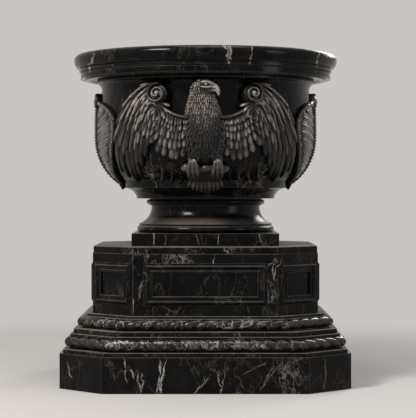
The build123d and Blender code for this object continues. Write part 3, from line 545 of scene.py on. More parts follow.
# the shells of one carved piece; a per-point value sets its painted light: a painted highlight on crests,
# painted shade in cuts, at the sides and underneath
class Batch:
    def __init__(self):
        self.points = []
        self.faces = []
        self.wearAndPaintedLight = []
        self.count = 0

    def add(self, points, faces, wearAndPaintedLight=0.6):
        self.points.append(points.reshape(-1, 3))
        self.faces += [tuple(self.count + i for i in face) for face in faces]
        self.wearAndPaintedLight.append(np.broadcast_to(wearAndPaintedLight, points.shape[:-1]).reshape(-1))
        self.count += len(self.points[-1])

    def piece(self, name, finish, mirror=False, turned=False):
        points = np.concatenate(self.points)
        faces = self.faces
        if mirror:
            points = points * (-1, 1, 1)
            faces = [face[::-1] for face in faces]
        if turned:
            points = points * (-1, -1, 1)
        mesh = bpy.data.meshes.new(name)
        mesh.from_pydata(points.tolist(), [], faces)
        mesh.validate()
        mesh.attributes.new("wearAndPaintedLight", "FLOAT", "POINT").data.foreach_set("value", np.concatenate(self.wearAndPaintedLight))
        mesh.polygons.foreach_set("use_smooth", [True] * len(mesh.polygons))
        mesh.materials.append(finishes[finish])
        made = bpy.data.objects.new(name, mesh)
        bpy.context.collection.objects.link(made)
        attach(made, "font")
        return made


# closed tube over rows of rings, all of one size
def ringFaces(rows, size):
    faces = []
    for i in range(rows - 1):
        for j in range(size):
            k = (j + 1) % size
            faces.append((i * size + j, i * size + k, (i + 1) * size + k, (i + 1) * size + j))
    faces.append(tuple(reversed(range(size))))
    faces.append(tuple((rows - 1) * size + j for j in range(size)))
    return faces


def bezier(start, pull, end, steps):
    t = np.linspace(0, 1, steps)[:, None]
    start, pull, end = np.array(start), np.array(pull), np.array(end)
    return (1 - t) ** 2 * start + 2 * t * (1 - t) * pull + t ** 2 * end


band = {
    "across": (-1.0, -0.72, -0.38, -0.10, 0.10, 0.38, 0.72, 1.0),
    "crownPower": 2.2,
    "keelWidth": 0.13,
    "sideFade": 0.8,
    # along each ribbon: painted shade at the root, rising to full painted highlight at the tip
    "tone": (0.35, 1.0),
}
across = np.array(band["across"])


# a ribbon laid along a path on the wall: width, height and crown run along it
def ribbon(batch, path, width, out, crown, keel=0.0, place=onWall, lift=None, tone=band["tone"]):
    steps = len(path)
    width, out, crown = (np.broadcast_to(value, steps) for value in (width, out, crown))
    tangent = np.gradient(path, axis=0)
    tangent /= np.linalg.norm(tangent, axis=1)[:, None] + 1e-9
    side = np.stack([-tangent[:, 1], tangent[:, 0]], axis=1)
    flat = path[:, None, :] + side[:, None, :] * (across[None, :, None] * width[:, None, None] / 2)
    rise = out[:, None] + crown[:, None] * (1 - np.abs(across) ** band["crownPower"])
    rise = rise + keel * np.exp(-(across / band["keelWidth"]) ** 2)
    if lift is not None:
        rise = rise + lift(flat[..., 0], flat[..., 1])
    top = place(flat[..., 0], flat[..., 1], rise)
    under = place(flat[:, [-1, 0], 0], flat[:, [-1, 0], 1], np.full((steps, 2), -carving["sunk"]))
    along = np.interp(np.linspace(0, 1, steps), np.linspace(0, 1, len(tone)), tone)[:, None]
    # per point: painted highlight along the crest, painted shade towards the sides and on the underside
    wearAndPaintedLight = np.concatenate([(1 - band["sideFade"] * np.abs(across)) * along, np.zeros((steps, 2))], axis=1)
    batch.add(np.concatenate([top, under], axis=1), ringFaces(steps, len(across) + 2), wearAndPaintedLight)


feather = {
    "steps": 14,
    "quill": 0.55,
    "broadest": 0.55,
    "tipFrom": 0.78,
    "tipWidth": 0.06,
    "point": 0.5,
    "lift": 1.4,
    # along each feather: painted shade at the covered root, strongest painted highlight at the tip
    "tone": (0.10, 0.15, 0.35, 0.90, 1.15),
    "toneSpread": (0.50, 1.30),
}


def featherWidths(width, point):
    u = np.linspace(0, 1, feather["steps"])
    swell = np.sin(np.clip(u / feather["broadest"], 0, 1) * math.pi / 2)
    body = feather["quill"] + (1 - feather["quill"]) * swell
    tip = np.clip((u - feather["tipFrom"]) / (1 - feather["tipFrom"]), 0, 1)
    return np.maximum(width * body * (1 - tip ** 2) ** point, width * feather["tipWidth"])


def featherTone(level=1.0):
    return np.array(feather["tone"]) * level * shaping.uniform(*feather["toneSpread"])


# kind gives width, how far root and tip stand out, crown and keel; raised lifts the tip further
def layFeather(batch, root, pull, tip, kind, place=onWall, lift=None, raised=0.0):
    path = bezier(root, pull, tip, feather["steps"])
    widths = featherWidths(kind["width"], kind.get("point", feather["point"]))
    low, high = kind["out"]
    rise = low + (high + raised - low) * np.linspace(0, 1, feather["steps"]) ** feather["lift"]
    ribbon(batch, path, widths, rise, kind["crown"] * widths / kind["width"], kind["keel"], place, lift,
           featherTone(kind.get("level", 1.0)))


def pathBetween(root, tip, bend):
    root, tip = np.array(root), np.array(tip)
    run = tip - root
    return (root + tip) / 2 + np.array([-run[1], run[0]]) * bend


# a wing, worked on its right-hand side: rows of feathers that follow a flow from the volute, over the arch
# and down to the tips
wingFlow = {
    "start": ((0.126, 0.857), (0.150, 0.838), (0.126, 0.806)),
    "rise": ((0.214, 0.884), (0.190, 0.850), (0.146, 0.792)),
    "fall": ((0.302, 0.744), (0.232, 0.700), (0.155, 0.736)),
    "tips": ((0.320, 0.616), (0.262, 0.534), (0.162, 0.694)),
    "high": 0.037,
    "low": 0.009,
    "ease": 1.3,
}
# each row: where it starts and ends on the flow, count, spread, tone (the strength of its painted highlight)
# and splay
wingRows = {
    "flights": (0.46, 1.00, 15, 1.40, 0.50, 0.003),
    "greaterCoverts": (0.36, 0.83, 14, 1.30, 0.80, 0.005),
    "middleCoverts": (0.26, 0.69, 13, 1.30, 0.95, 0.006),
    "lesserCoverts": (0.17, 0.57, 14, 1.30, 1.10, 0.006),
    "marginals": (0.09, 0.46, 13, 1.30, 1.15, 0.006),
    "scapulars": (0.03, 0.35, 12, 1.30, 1.15, 0.005),
    "shoulder": (0.00, 0.24, 11, 1.25, 1.10, 0.003),
}
wingFeather = {
    "shorten": 0.07,
    "scatter": 0.018,
    "splayWay": (0.6, 0.8),
    "beside": 0.05,
    "point": 0.6,
    "widths": (0.0050, 0.0170),
    "tipLift": 0.0085,
    "overlap": 0.0022,
    "sink": 0.007,
    "crownShare": 0.36,
    "crownMost": 0.0052,
    "keel": 0.0008,
}
tuft = {
    "root": (0.138, 0.802),
    "tips": ((0.098, 0.794), (0.104, 0.776), (0.114, 0.760), (0.128, 0.750), (0.146, 0.752)),
    "bend": -0.16,
    "width": 0.011,
    "out": (0.030, 0.021),
    "crown": 0.0045,
    "keel": 0.001,
}
volute = {
    "centre": (0.133, 0.830),
    "reach": 0.0285,
    "turns": 1.65,
    "start": 80.0,
    "shrink": 0.78,
    "steps": 80,
    "thick": 0.0088,
    "thin": (1.1, 0.4),
    "out": 0.037,
    "rise": 0.003,
    "crown": 0.0050,
    "eye": 0.0070,
}
voluteDisc = {
    "radius": 0.026,
    "steps": 12,
    "round": 0.985,
    "out": 0.0310,
    "crown": 0.002,
}


# places on the flow: share runs from the outer edge to the inner one, u from the volute to the tips
def flowLine(share, u):
    corners = [bezier(*wingFlow[key], 101)[round(share * 100)] for key in ("start", "rise", "fall", "tips")]
    u = np.asarray(u)[:, None]
    return ((1 - u) ** 3 * corners[0] + 3 * u * (1 - u) ** 2 * corners[1] + 3 * u ** 2 * (1 - u) * corners[2]
            + u ** 3 * corners[3])


def layWingFeather(batch, i, start, end, count, spread, tone, splay):
    u = np.linspace(0, 1, feather["steps"])
    share = i / (count - 1)
    last = min(end * (1 - wingFeather["shorten"] * (i % 2)) + shaping.normal(0, wingFeather["scatter"]), 1.0)
    along = start + (last - start) * u
    aside = shaping.normal(0, splay) + splay * (1 - share)
    swing = np.stack([way * u ** 2 for way in wingFeather["splayWay"]], axis=1)
    path = flowLine(share, along) + swing * aside
    step = wingFeather["beside"]
    beside = flowLine(min(share + step, 1.0), along) - flowLine(max(share - step, 0.0), along)
    span = 2 * step if step < share < 1 - step else step
    spacing = np.linalg.norm(beside, axis=1) / span / (count - 1)
    widths = featherWidths(1.0, wingFeather["point"]) * np.clip(spacing * spread, *wingFeather["widths"])
    fall = np.clip(1 - along, 0, 1) ** wingFlow["ease"]
    base = wingFlow["low"] + (wingFlow["high"] - wingFlow["low"]) * fall
    out = base + wingFeather["tipLift"] * u ** 3 + wingFeather["overlap"] * (i % 2) - wingFeather["sink"]
    crown = np.minimum(widths * wingFeather["crownShare"], wingFeather["crownMost"])
    ribbon(batch, path, widths, out, crown, wingFeather["keel"], tone=featherTone(tone))


def buildWing():
    batch = Batch()
    for start, end, count, spread, tone, splay in wingRows.values():
        for i in range(count):
            layWingFeather(batch, i, start, end, count, spread, tone, splay)
    for tip in tuft["tips"]:
        layFeather(batch, tuft["root"], pathBetween(tuft["root"], tip, tuft["bend"]), tip, tuft)
    centre = np.array(volute["centre"])
    t = np.linspace(0, 1, volute["steps"])
    turn = math.radians(volute["start"]) + t * volute["turns"] * 2 * math.pi
    reach = volute["reach"] * (1 - volute["shrink"] * t)
    spiral = centre + np.stack([-reach * np.cos(turn), reach * np.sin(turn)], axis=1)
    ribbon(batch, spiral, volute["thick"] * (volute["thin"][0] - volute["thin"][1] * t),
           volute["out"] + volute["rise"] * t, volute["crown"])
    sides = np.linspace(-1, 1, voluteDisc["steps"])
    disc = np.stack([sides * voluteDisc["radius"], np.zeros(len(sides))], axis=1) + centre
    chords = 2 * voluteDisc["radius"] * np.sqrt(1 - (sides * voluteDisc["round"]) ** 2)
    ribbon(batch, disc, chords, voluteDisc["out"], voluteDisc["crown"])
    ball(batch, onWall(*centre, volute["out"]), np.full(3, volute["eye"]), 10, 16)
    return batch


# breast and neck as a swelling on the wall, with its own height over it
torso = {
    "levels": (0.636, 0.655, 0.685, 0.715, 0.745, 0.770, 0.780, 0.790, 0.805, 0.822, 0.845),
    "halves": (0.022, 0.036, 0.047, 0.053, 0.055, 0.050, 0.046, 0.042, 0.038, 0.036, 0.033),
    "stands": (0.008, 0.020, 0.030, 0.036, 0.039, 0.040, 0.040, 0.040, 0.039, 0.037, 0.034),
    "lean": (0.000, 0.000, 0.000, 0.000, -0.001, -0.0045, -0.006, -0.0075, -0.009, -0.009, -0.009),
    "top": 0.862,
    "steps": 40,
    "around": 33,
    # a low painted highlight over the torso shell
    "wearAndPaintedLight": 0.3,
}
web = {
    "out": 0.013,
    "side": 0.165,
    "edge": 0.006,
    "top": ((0.045, 0.762), (0.094, 0.766), (0.130, 0.802)),
    "band": 0.0120,
    "bandEnd": 0.7,
    "bandOut": (0.026, 0.021),
    "bandCrown": 0.0050,
    "bandSteps": 24,
}
skirt = {
    "out": 0.016,
    "reach": 0.55,
    "top": 0.775,
    "fade": 0.02,
    "share": 0.6,
}


def webTop(girth):
    line = bezier(*web["top"], 30)
    return np.interp(np.abs(girth), line[:, 0], line[:, 1])


def torsoHeight(girth, z):
    half = np.interp(z, torso["levels"], torso["halves"])
    stand = np.interp(z, torso["levels"], torso["stands"])
    aside = (girth - np.interp(z, torso["levels"], torso["lean"])) / half
    dome = np.sqrt(np.clip(1 - aside ** 2, 0, 1))
    flap = web["out"] * np.clip(1 - (np.abs(girth) / web["side"]) ** 4, 0, 1)
    spread = skirt["out"] * np.exp(-(np.clip(np.abs(aside) - 1, 0, 4) / skirt["reach"]) ** 2)
    spread = spread * np.clip((skirt["top"] - z) / skirt["fade"], 0, 1)
    below = np.clip((webTop(girth) - z) / web["edge"], 0, 1)
    return np.maximum(stand * dome, (flap + spread * skirt["share"]) * below)


def buildTorso(batch):
    levels = np.linspace(torso["levels"][0], torso["top"], torso["steps"])
    sides = np.linspace(-1, 1, torso["around"])
    half = np.interp(levels, torso["levels"], torso["halves"])
    stand = np.interp(levels, torso["levels"], torso["stands"])
    girth = half[:, None] * np.sin(sides * math.pi / 2)[None, :]
    girth = girth + np.interp(levels, torso["levels"], torso["lean"])[:, None]
    out = stand[:, None] * np.cos(sides * math.pi / 2)[None, :] - carving["sunk"]
    rings = onWall(girth, levels[:, None], out)
    batch.add(rings, ringFaces(len(levels), len(sides)), torso["wearAndPaintedLight"])


scales = {
    "rows": 13,
    "low": 0.678,
    "high": 0.772,
    "inset": 0.97,
    "fan": 0.35,
    "length": 0.0165,
    "width": 0.0080,
    "spacing": 0.86,
    "scatter": 0.0018,
    "out": (0.0002, 0.0034),
    "crown": 0.0022,
    "keel": 0.0006,
    "point": 0.75,
    # strength of the painted highlight on the breast feathers
    "level": 0.42,
}


# small feathers over the breast, each row half a width aside of the last
def layScales(batch):
    halves = [half * scales["inset"] for half in torso["halves"]]
    for row in range(scales["rows"]):
        z = scales["low"] + (scales["high"] - scales["low"]) * (row / (scales["rows"] - 1))
        reach = np.interp(z, torso["levels"], halves)
        count = int(2 * reach / (scales["width"] * scales["spacing"]))
        for i in range(count + row % 2):
            girth = -reach + 2 * reach * (i + 0.5 * (row % 2)) / count
            if abs(girth) > reach:
                continue
            fan = girth / reach * scales["fan"]
            root = np.array([girth, z])
            tip = np.array([girth + fan * scales["length"], z - scales["length"]])
            tip = tip + shaping.normal(0, scales["scatter"], 2)
            layFeather(batch, root, (root + tip) / 2, tip, scales, lift=torsoHeight)


# rows of feathers across the web: roots, tips, count, width, and how far roots and tips stand out
webRows = {
    "fringe": (((0.034, 0.700), (0.090, 0.706), (0.132, 0.728)),
               ((0.046, 0.670), (0.098, 0.626), (0.162, 0.690)), 7, 0.0215, (0.010, 0.0165)),
    "second": (((0.040, 0.722), (0.092, 0.728), (0.130, 0.752)),
               ((0.048, 0.694), (0.098, 0.656), (0.158, 0.712)), 9, 0.0165, (0.014, 0.0200)),
    "third": (((0.044, 0.740), (0.092, 0.744), (0.126, 0.770)),
              ((0.050, 0.712), (0.096, 0.682), (0.150, 0.736)), 10, 0.0135, (0.016, 0.0225)),
    "fourth": (((0.046, 0.754), (0.090, 0.758), (0.124, 0.784)),
               ((0.052, 0.730), (0.092, 0.706), (0.140, 0.756)), 11, 0.0110, (0.018, 0.0240)),
    "fifth": (((0.046, 0.762), (0.090, 0.768), (0.124, 0.796)),
              ((0.052, 0.745), (0.090, 0.728), (0.130, 0.774)), 11, 0.0100, (0.020, 0.0250)),
}
webFeather = {
    "scatter": 0.0016,
    "bend": 0.10,
    "overlap": 0.0012,
    "crownShare": 0.27,
    "keel": 0.0008,
    "point": 0.42,
}


def smoothRow(values, steps):
    places = np.linspace(0, 1, len(values))
    fine = np.linspace(0, 1, steps)
    values = np.array(values)
    out = np.stack([np.interp(fine, places, values[:, k]) for k in range(values.shape[1])], axis=1)
    for _ in range(3):
        out[1:-1] = 0.25 * out[:-2] + 0.5 * out[1:-1] + 0.25 * out[2:]
    return out


def sweptTube(batch, line, wide, tall, around=28, wearAndPaintedLight=0.6):
    tangent = np.gradient(line, axis=0)
    tangent /= np.linalg.norm(tangent, axis=1)[:, None]
    facing = np.array([0.25, -1.0, 0.0])
    side = facing - tangent * (tangent @ facing)[:, None]
    side /= np.linalg.norm(side, axis=1)[:, None]
    up = np.cross(side, tangent)
    turn = np.linspace(0, 2 * math.pi, around, endpoint=False)
    rings = (line[:, None, :] + side[:, None, :] * (np.cos(turn)[None, :, None] * wide[:, None, None])
             + up[:, None, :] * (np.sin(turn)[None, :, None] * tall[:, None, None]))
    batch.add(rings, ringFaces(len(line), around), wearAndPaintedLight)


def ball(batch, centre, radii, rows=12, around=18, wearAndPaintedLight=0.8):
    turn = np.linspace(0, 2 * math.pi, around, endpoint=False)
    rings = []
    for i in range(rows):
        lat = math.pi * (i + 0.5) / rows - math.pi / 2
        ring = [np.cos(turn) * math.cos(lat), np.sin(turn) * math.cos(lat), np.full(around, math.sin(lat))]
        rings.append(np.stack(ring, axis=1) * radii + centre)
    batch.add(np.array(rings), ringFaces(rows, around), wearAndPaintedLight)


# along the head from the neck to the beak's hook: x, y, z, half width and half height
headLine = (
    (-0.008, -0.318, 0.806, 0.036, 0.036),
    (-0.010, -0.326, 0.822, 0.031, 0.031),
    (-0.011, -0.331, 0.836, 0.0285, 0.028),
    (-0.008, -0.336, 0.848, 0.0255, 0.0255),
    (0.001, -0.341, 0.8525, 0.0215, 0.0205),
    (0.010, -0.345, 0.8515, 0.0165, 0.0160),
    (0.018, -0.349, 0.8485, 0.0120, 0.0125),
    (0.025, -0.352, 0.8455, 0.0090, 0.0112),
    (0.031, -0.3545, 0.8415, 0.0070, 0.0092),
    (0.0355, -0.356, 0.8355, 0.0048, 0.0068),
    (0.0370, -0.3565, 0.8290, 0.0028, 0.0040),
    (0.0360, -0.3560, 0.8235, 0.0009, 0.0012),
)
# ridges are x, y, z and half thickness; socket and eye are a centre and three radii
face = {
    "beakFrom": 0.012,
    "beakFade": 0.008,
    "brow": ((-0.019, -0.3540, 0.8580, 0.0020), (-0.006, -0.3625, 0.8612, 0.0032),
             (0.006, -0.3640, 0.8610, 0.0036), (0.017, -0.3615, 0.8570, 0.0030),
             (0.024, -0.3600, 0.8530, 0.0020)),
    "cheek": ((-0.020, -0.3560, 0.8500, 0.0016), (-0.008, -0.3610, 0.8468, 0.0026),
              (0.004, -0.3610, 0.8462, 0.0028), (0.016, -0.3605, 0.8475, 0.0022)),
    "gape": ((-0.0165, -0.3580, 0.8455, 0.0010), (-0.0075, -0.3600, 0.8418, 0.0020),
             (0.0045, -0.3590, 0.8408, 0.0022), (0.0165, -0.3600, 0.8430, 0.0020),
             (0.0300, -0.3608, 0.8425, 0.0012)),
    "socket": ((0.000, -0.3605, 0.8545), (0.0150, 0.0036, 0.0042)),
    "eye": ((0.0015, -0.3628, 0.8545), (0.0040, 0.0028, 0.0032)),
    "jaw": ((0.000, -0.349, 0.8405), (0.010, -0.352, 0.8385), (0.020, -0.3545, 0.8370),
            (0.0265, -0.3560, 0.8345)),
    "jawWide": (0.0085, 0.0018),
    "jawTall": (0.0075, 0.0016),
}


def buildHead(batch):
    rows = smoothRow(headLine, 46)
    beak = np.clip((rows[:, 0] - face["beakFrom"]) / face["beakFade"], 0, 1)
    # the head carries a middling painted highlight that grows to full on the beak
    sweptTube(batch, rows[:, :3], rows[:, 3], rows[:, 4], wearAndPaintedLight=(0.45 + 0.55 * beak)[:, None] * np.ones(28))
    # brow and cheek ridges carry a strong painted highlight
    for key in ("brow", "cheek"):
        ridge = smoothRow(face[key], 20)
        sweptTube(batch, ridge[:, :3], ridge[:, 3], ridge[:, 3] * 0.9, 10, 0.95)
    # the gape line is a thin tube in painted shade
    gape = smoothRow(face["gape"], 20)
    sweptTube(batch, gape[:, :3], gape[:, 3], gape[:, 3], 8, 0.15)
    # the eye socket is a flattened ball in painted shade, the eye a small ball with a painted highlight
    for key, wearAndPaintedLight in (("socket", 0.22), ("eye", 0.9)):
        ball(batch, np.array(face[key][0]), np.array(face[key][1]), wearAndPaintedLight=wearAndPaintedLight)
    jaw = smoothRow(face["jaw"], 12)
    sweptTube(batch, jaw, np.linspace(*face["jawWide"], 12), np.linspace(*face["jawTall"], 12), 14, 0.5)


neckCover = {
    "rows": 17,
    "low": 0.752,
    "high": 0.868,
    "length": (0.028, 0.010),
    "width": (0.0118, 0.0052),
    "outline": (0.5, 0.75, 0.95, 1.0, 1.0, 0.90, 0.70, 0.42, 0.08),
    "wrap": 3.8,
    "spacing": 0.66,
    "turnScatter": 0.012,
    "dropScatter": 0.0010,
    "start": 0.004,
    "sweep": (1.02, 0.03),
    "lift": (0.0002, 0.0022),
    "crown": 0.0022,
    "crownPower": 1.6,
    "sunk": 0.003,
    "faceFrom": 0.836,
    "faceEdge": (0.15, 0.866, 6, 0.4),
    "breastTop": 0.775,
    "breastTurn": 1.15,
    # strength of the painted highlight by height, and along each feather
    "toneLevels": (0.752, 0.775, 0.805),
    "tones": (0.75, 1.30, 2.0),
    "toneAlong": (0, 0.25, 0.6, 0.9, 1),
    "levels": (0.720, 0.745, 0.762, 0.780, 0.800, 0.822, 0.836, 0.848, 0.858, 0.866, 0.872),
    "radii": (0.0545, 0.0560, 0.0530, 0.0475, 0.0410, 0.0335, 0.0295, 0.0270, 0.0225, 0.0150, 0.0060),
    "centresX": (0.000, -0.001, -0.004, -0.006, -0.008, -0.009, -0.010, -0.010, -0.008, -0.006, -0.004),
    "centresY": (-0.298, -0.298, -0.302, -0.308, -0.315, -0.325, -0.331, -0.335, -0.338, -0.340, -0.341),
}


# a place on the neck: turn from the front, height, and how far it stands out
def neckPlace(turn, z, out):
    turn, z, out = np.broadcast_arrays(turn, z, out)
    radius = np.interp(z, neckCover["levels"], neckCover["radii"]) + out
    x = np.interp(z, neckCover["levels"], neckCover["centresX"]) + radius * np.sin(turn)
    y = np.interp(z, neckCover["levels"], neckCover["centresY"]) - radius * np.cos(turn)
    return np.stack([x, y, z + 0 * turn], axis=-1)


# the face stays bare, and so do the sides low down, where the breast carries on
def bareNeck(turn, z):
    start, crown, rate, back = neckCover["faceEdge"]
    face = z > neckCover["faceFrom"] and turn > start + (crown - z) * rate - back
    return face or (z < neckCover["breastTop"] and abs(turn) > neckCover["breastTurn"])


# long narrow neck feathers, laid round the neck and over the back of the head
def buildNeckCover(batch):
    outline = np.array(neckCover["outline"])
    steps = len(outline)
    u = np.linspace(0, 1, steps)
    for row in range(neckCover["rows"]):
        share = row / (neckCover["rows"] - 1)
        z = neckCover["low"] + (neckCover["high"] - neckCover["low"]) * share
        radius = np.interp(z, neckCover["levels"], neckCover["radii"])
        width, length = (neckCover[key][0] + (neckCover[key][1] - neckCover[key][0]) * share
                         for key in ("width", "length"))
        count = int(neckCover["wrap"] * radius / (width * neckCover["spacing"]))
        level = np.interp(z, neckCover["toneLevels"], neckCover["tones"])
        for i in range(count):
            turn = -neckCover["wrap"] / 2 + neckCover["wrap"] * (i + 0.5 * (row % 2)) / count
            turn = turn + shaping.normal(0, neckCover["turnScatter"])
            if bareNeck(turn, z):
                continue
            drop = z + neckCover["start"] + shaping.normal(0, neckCover["dropScatter"])
            swept = turn * neckCover["sweep"][0] - neckCover["sweep"][1]
            path = np.linspace((turn, drop), (swept, drop - length), steps)
            aside = across[None, :] * (width / radius * outline)[:, None] / 2
            flat = path[:, None, :] + np.stack([aside, np.zeros(aside.shape)], axis=-1)
            crown = neckCover["crown"] * (1 - np.abs(across) ** neckCover["crownPower"])
            rise = neckCover["lift"][0] + neckCover["lift"][1] * u[:, None] + crown
            top = neckPlace(flat[..., 0], flat[..., 1], rise)
            edges = flat[:, [-1, 0]]
            under = neckPlace(edges[..., 0], edges[..., 1], np.full((steps, 2), -neckCover["sunk"]))
            tone = np.interp(u, neckCover["toneAlong"], featherTone(level))[:, None]
            # painted highlight along each neck feather's crest, painted shade at its sides and underneath
            wearAndPaintedLight = np.concatenate([(1 - np.abs(across)) * tone, np.zeros((steps, 2))], axis=1)
            batch.add(np.concatenate([top, under], axis=1), ringFaces(steps, len(across) + 2), wearAndPaintedLight)


tailFan = {
    "count": 9,
    "roots": ((-0.026, 0.622), (0.0, 0.630), (0.026, 0.622)),
    "tips": ((-0.066, 0.572), (0.0, 0.548), (0.066, 0.572)),
    "width": 0.0165,
    "out": (0.004, 0.0075),
    "overlap": 0.0006,
    "crown": 0.0028,
    "keel": 0.0012,
    "point": 0.45,
}
legs = {
    "count": 9,
    "hip": 0.024,
    "hipSpread": 0.010,
    "foot": 0.036,
    "footSpread": 0.015,
    "top": 0.685,
    "low": 0.648,
    "cuff": 0.004,
    "width": 0.0075,
    "out": (0.024, 0.016),
    "crown": 0.0025,
    "keel": 0.0006,
}


def layWebRow(batch, side, roots, tips, count, width, out):
    kind = dict(webFeather, width=width, out=out, crown=width * webFeather["crownShare"])
    roots = bezier(*roots, count) * (side, 1)
    tips = bezier(*tips, count) * (side, 1)
    for i, (root, tip) in enumerate(zip(roots, tips)):
        tip = tip + shaping.normal(0, kind["scatter"], 2)
        layFeather(batch, root, pathBetween(root, tip, kind["bend"] * side), tip, kind,
                   raised=kind["overlap"] * (i % 2))


def layLeg(batch, side):
    for i in range(legs["count"]):
        spread = (i - 4) / 4
        root = np.array([side * legs["hip"] + legs["hipSpread"] * spread, legs["top"]])
        tip = np.array([side * legs["foot"] + legs["footSpread"] * spread,
                        legs["low"] - legs["cuff"] * (1 - spread ** 2)])
        layFeather(batch, root, (root + tip) / 2, tip, legs)


def layTail(batch):
    count = tailFan["count"]
    tips = bezier(*tailFan["tips"], count)
    roots = bezier(*tailFan["roots"], count)
    order = sorted(range(count), key=lambda i: -abs(i - (count - 1) / 2))
    for level, i in enumerate(order):
        layFeather(batch, roots[i], (roots[i] + tips[i]) / 2, tips[i], tailFan,
                   raised=tailFan["overlap"] * level)


def buildBody():
    batch = Batch()
    buildTorso(batch)
    buildHead(batch)
    buildNeckCover(batch)
    steps = web["bandSteps"]
    for side in (-1, 1):
        for row in webRows.values():
            layWebRow(batch, side, *row)
        ribbon(batch, bezier(*web["top"], steps) * (side, 1),
               web["band"] * np.linspace(1.0, web["bandEnd"], steps), np.linspace(*web["bandOut"], steps),
               web["bandCrown"])
        layLeg(batch, side)
    layScales(batch)
    layTail(batch)
    return batch


perchShape = {
    "half": 0.076,
    "height": 0.628,
    "out": 0.010,
    "thick": 0.0105,
    "steps": 60,
    "waver": (0.0015, 90),
    "knots": ((-0.060, 0.0022), (0.002, 0.0016), (0.058, 0.0024)),
    "knotWidth": 0.006,
    "endRound": 0.006,
    "feet": (-0.036, 0.036),
    "toes": (-0.0125, 0.0, 0.0125),
    "toeSteps": 22,
    "knuckles": (0.10, 2.1),
}
# along a toe: share of its spread, height, how far it stands out and half thickness
toeLine = (
    (0.25, 0.656, 0.017, 0.0052),
    (0.55, 0.650, 0.027, 0.0062),
    (0.90, 0.640, 0.0335, 0.0062),
    (1.05, 0.628, 0.0350, 0.0056),
    (1.10, 0.617, 0.0305, 0.0042),
    (1.08, 0.610, 0.0235, 0.0025),
    (1.05, 0.607, 0.0160, 0.0006),
)


def buildPerch():
    batch = Batch()
    girth = np.linspace(-perchShape["half"], perchShape["half"], perchShape["steps"])
    waver = perchShape["waver"][0] * np.sin(girth * perchShape["waver"][1])
    line = onWall(girth, perchShape["height"] + waver, perchShape["out"])
    thick = np.full(len(girth), perchShape["thick"])
    for place, swell in perchShape["knots"]:
        thick = thick + swell * np.exp(-((girth - place) / perchShape["knotWidth"]) ** 2)
    thick = thick * np.clip((perchShape["half"] - np.abs(girth)) / perchShape["endRound"], 0.25, 1) ** 0.5
    sweptTube(batch, line, thick, thick, 20)
    steps = perchShape["toeSteps"]
    depth, rate = perchShape["knuckles"]
    for foot in perchShape["feet"]:
        for toe in perchShape["toes"]:
            rows = smoothRow([(foot + toe * aside, *rest) for aside, *rest in toeLine], steps)
            ridged = rows[:, 3] * (1 + depth * np.sin(np.arange(steps) * rate))
            sweptTube(batch, onWall(rows[:, 0], rows[:, 1], rows[:, 2]), ridged, ridged, 12)
    return batch


# side ornament: a leaf with a ribbed border and lobes either side of a beaded midrib, under a scroll knob
strapShape = {
    "levels": (0.575, 0.590, 0.606, 0.640, 0.672, 0.710, 0.735, 0.762, 0.784, 0.800, 0.810, 0.817, 0.821),
    "halves": (0.014, 0.060, 0.098, 0.152, 0.178, 0.196, 0.200, 0.198, 0.180, 0.146, 0.106, 0.060, 0.018),
    "plate": 0.0065,
    "plateCurl": 0.0035,
    "steps": 44,
    "around": 41,
    "border": 0.013,
    "borderOut": 0.0095,
    "borderCrown": 0.0030,
    # strength of the painted highlight on the border
    "borderTone": (0.8, 0.8),
    "borderSteps": 70,
}
strapRibs = {
    "count": 34,
    "half": 0.0062,
    "widths": (0.0022, 0.0040, 0.0046, 0.0046, 0.0040, 0.0022),
    "out": 0.0115,
    "crown": 0.0022,
    # strength of the painted highlight on the ribs
    "tone": (1.2, 1.2),
}
strapLobes = {
    "count": 9,
    "low": 0.604,
    "span": 0.168,
    "rise": (0.020, 0.006),
    "highest": 0.795,
    "inset": 0.012,
    "blades": (-0.0065, 0.0, 0.0065),
    "root": 0.010,
    "rootShare": 0.4,
    "tipShare": 1.25,
    "shorten": 0.006,
    "sag": 0.010,
    "width": 0.0130,
    "out": (0.0070, 0.0104),
    "middleLift": 0.0012,
    "crown": 0.0032,
    "keel": 0.0006,
    "point": 0.6,
    "level": 1.3,
}
strapMidrib = {
    "from": 0.806,
    "to": 0.584,
    "steps": 40,
    "width": 0.017,
    "end": 0.45,
    "out": 0.0120,
    "crown": 0.0035,
    "beads": 26,
    "beadTop": 0.800,
    "beadRun": 0.205,
    "beadOut": 0.0155,
    "bead": 0.0052,
    "beadTaper": 0.45,
    "beadShape": (0.7, 1.0, 0.75),
}
strapKnob = {
    "spot": (0.0, 0.824),
    "out": 0.006,
    "radii": (0.017, 0.021, 0.021),
    "reach": 0.021,
    "shrink": 0.78,
    "turns": 1.6,
    "steps": 60,
    "width": 0.0085,
    "thin": (1.05, 0.35),
    "scrollOut": 0.0150,
    "crown": 0.0050,
    # strength of the painted highlight on the scroll
    "tone": (1.1, 1.1),
}


# a place on the wall at the font's side
def beside(girth, z, out):
    return onWall(np.asarray(girth) + math.pi / 2 * carving["girthRadius"], z, out)


def layLobe(batch, side, share):
    zRoot = strapLobes["low"] + strapLobes["span"] * share
    zTip = min(zRoot + strapLobes["rise"][0] + strapLobes["rise"][1] * share, strapLobes["highest"])
    reach = np.interp(zTip, strapShape["levels"], strapShape["halves"]) - strapLobes["inset"]
    for k, spread in enumerate(strapLobes["blades"]):
        root = np.array([side * strapLobes["root"], zRoot + strapLobes["rootShare"] * spread])
        tip = np.array([side * (reach - strapLobes["shorten"] * abs(k - 1)),
                        zTip + strapLobes["tipShare"] * spread])
        pull = (root + tip) / 2 + np.array([0, -strapLobes["sag"]])
        layFeather(batch, root, pull, tip, strapLobes, beside, raised=strapLobes["middleLift"] * (k == 1))


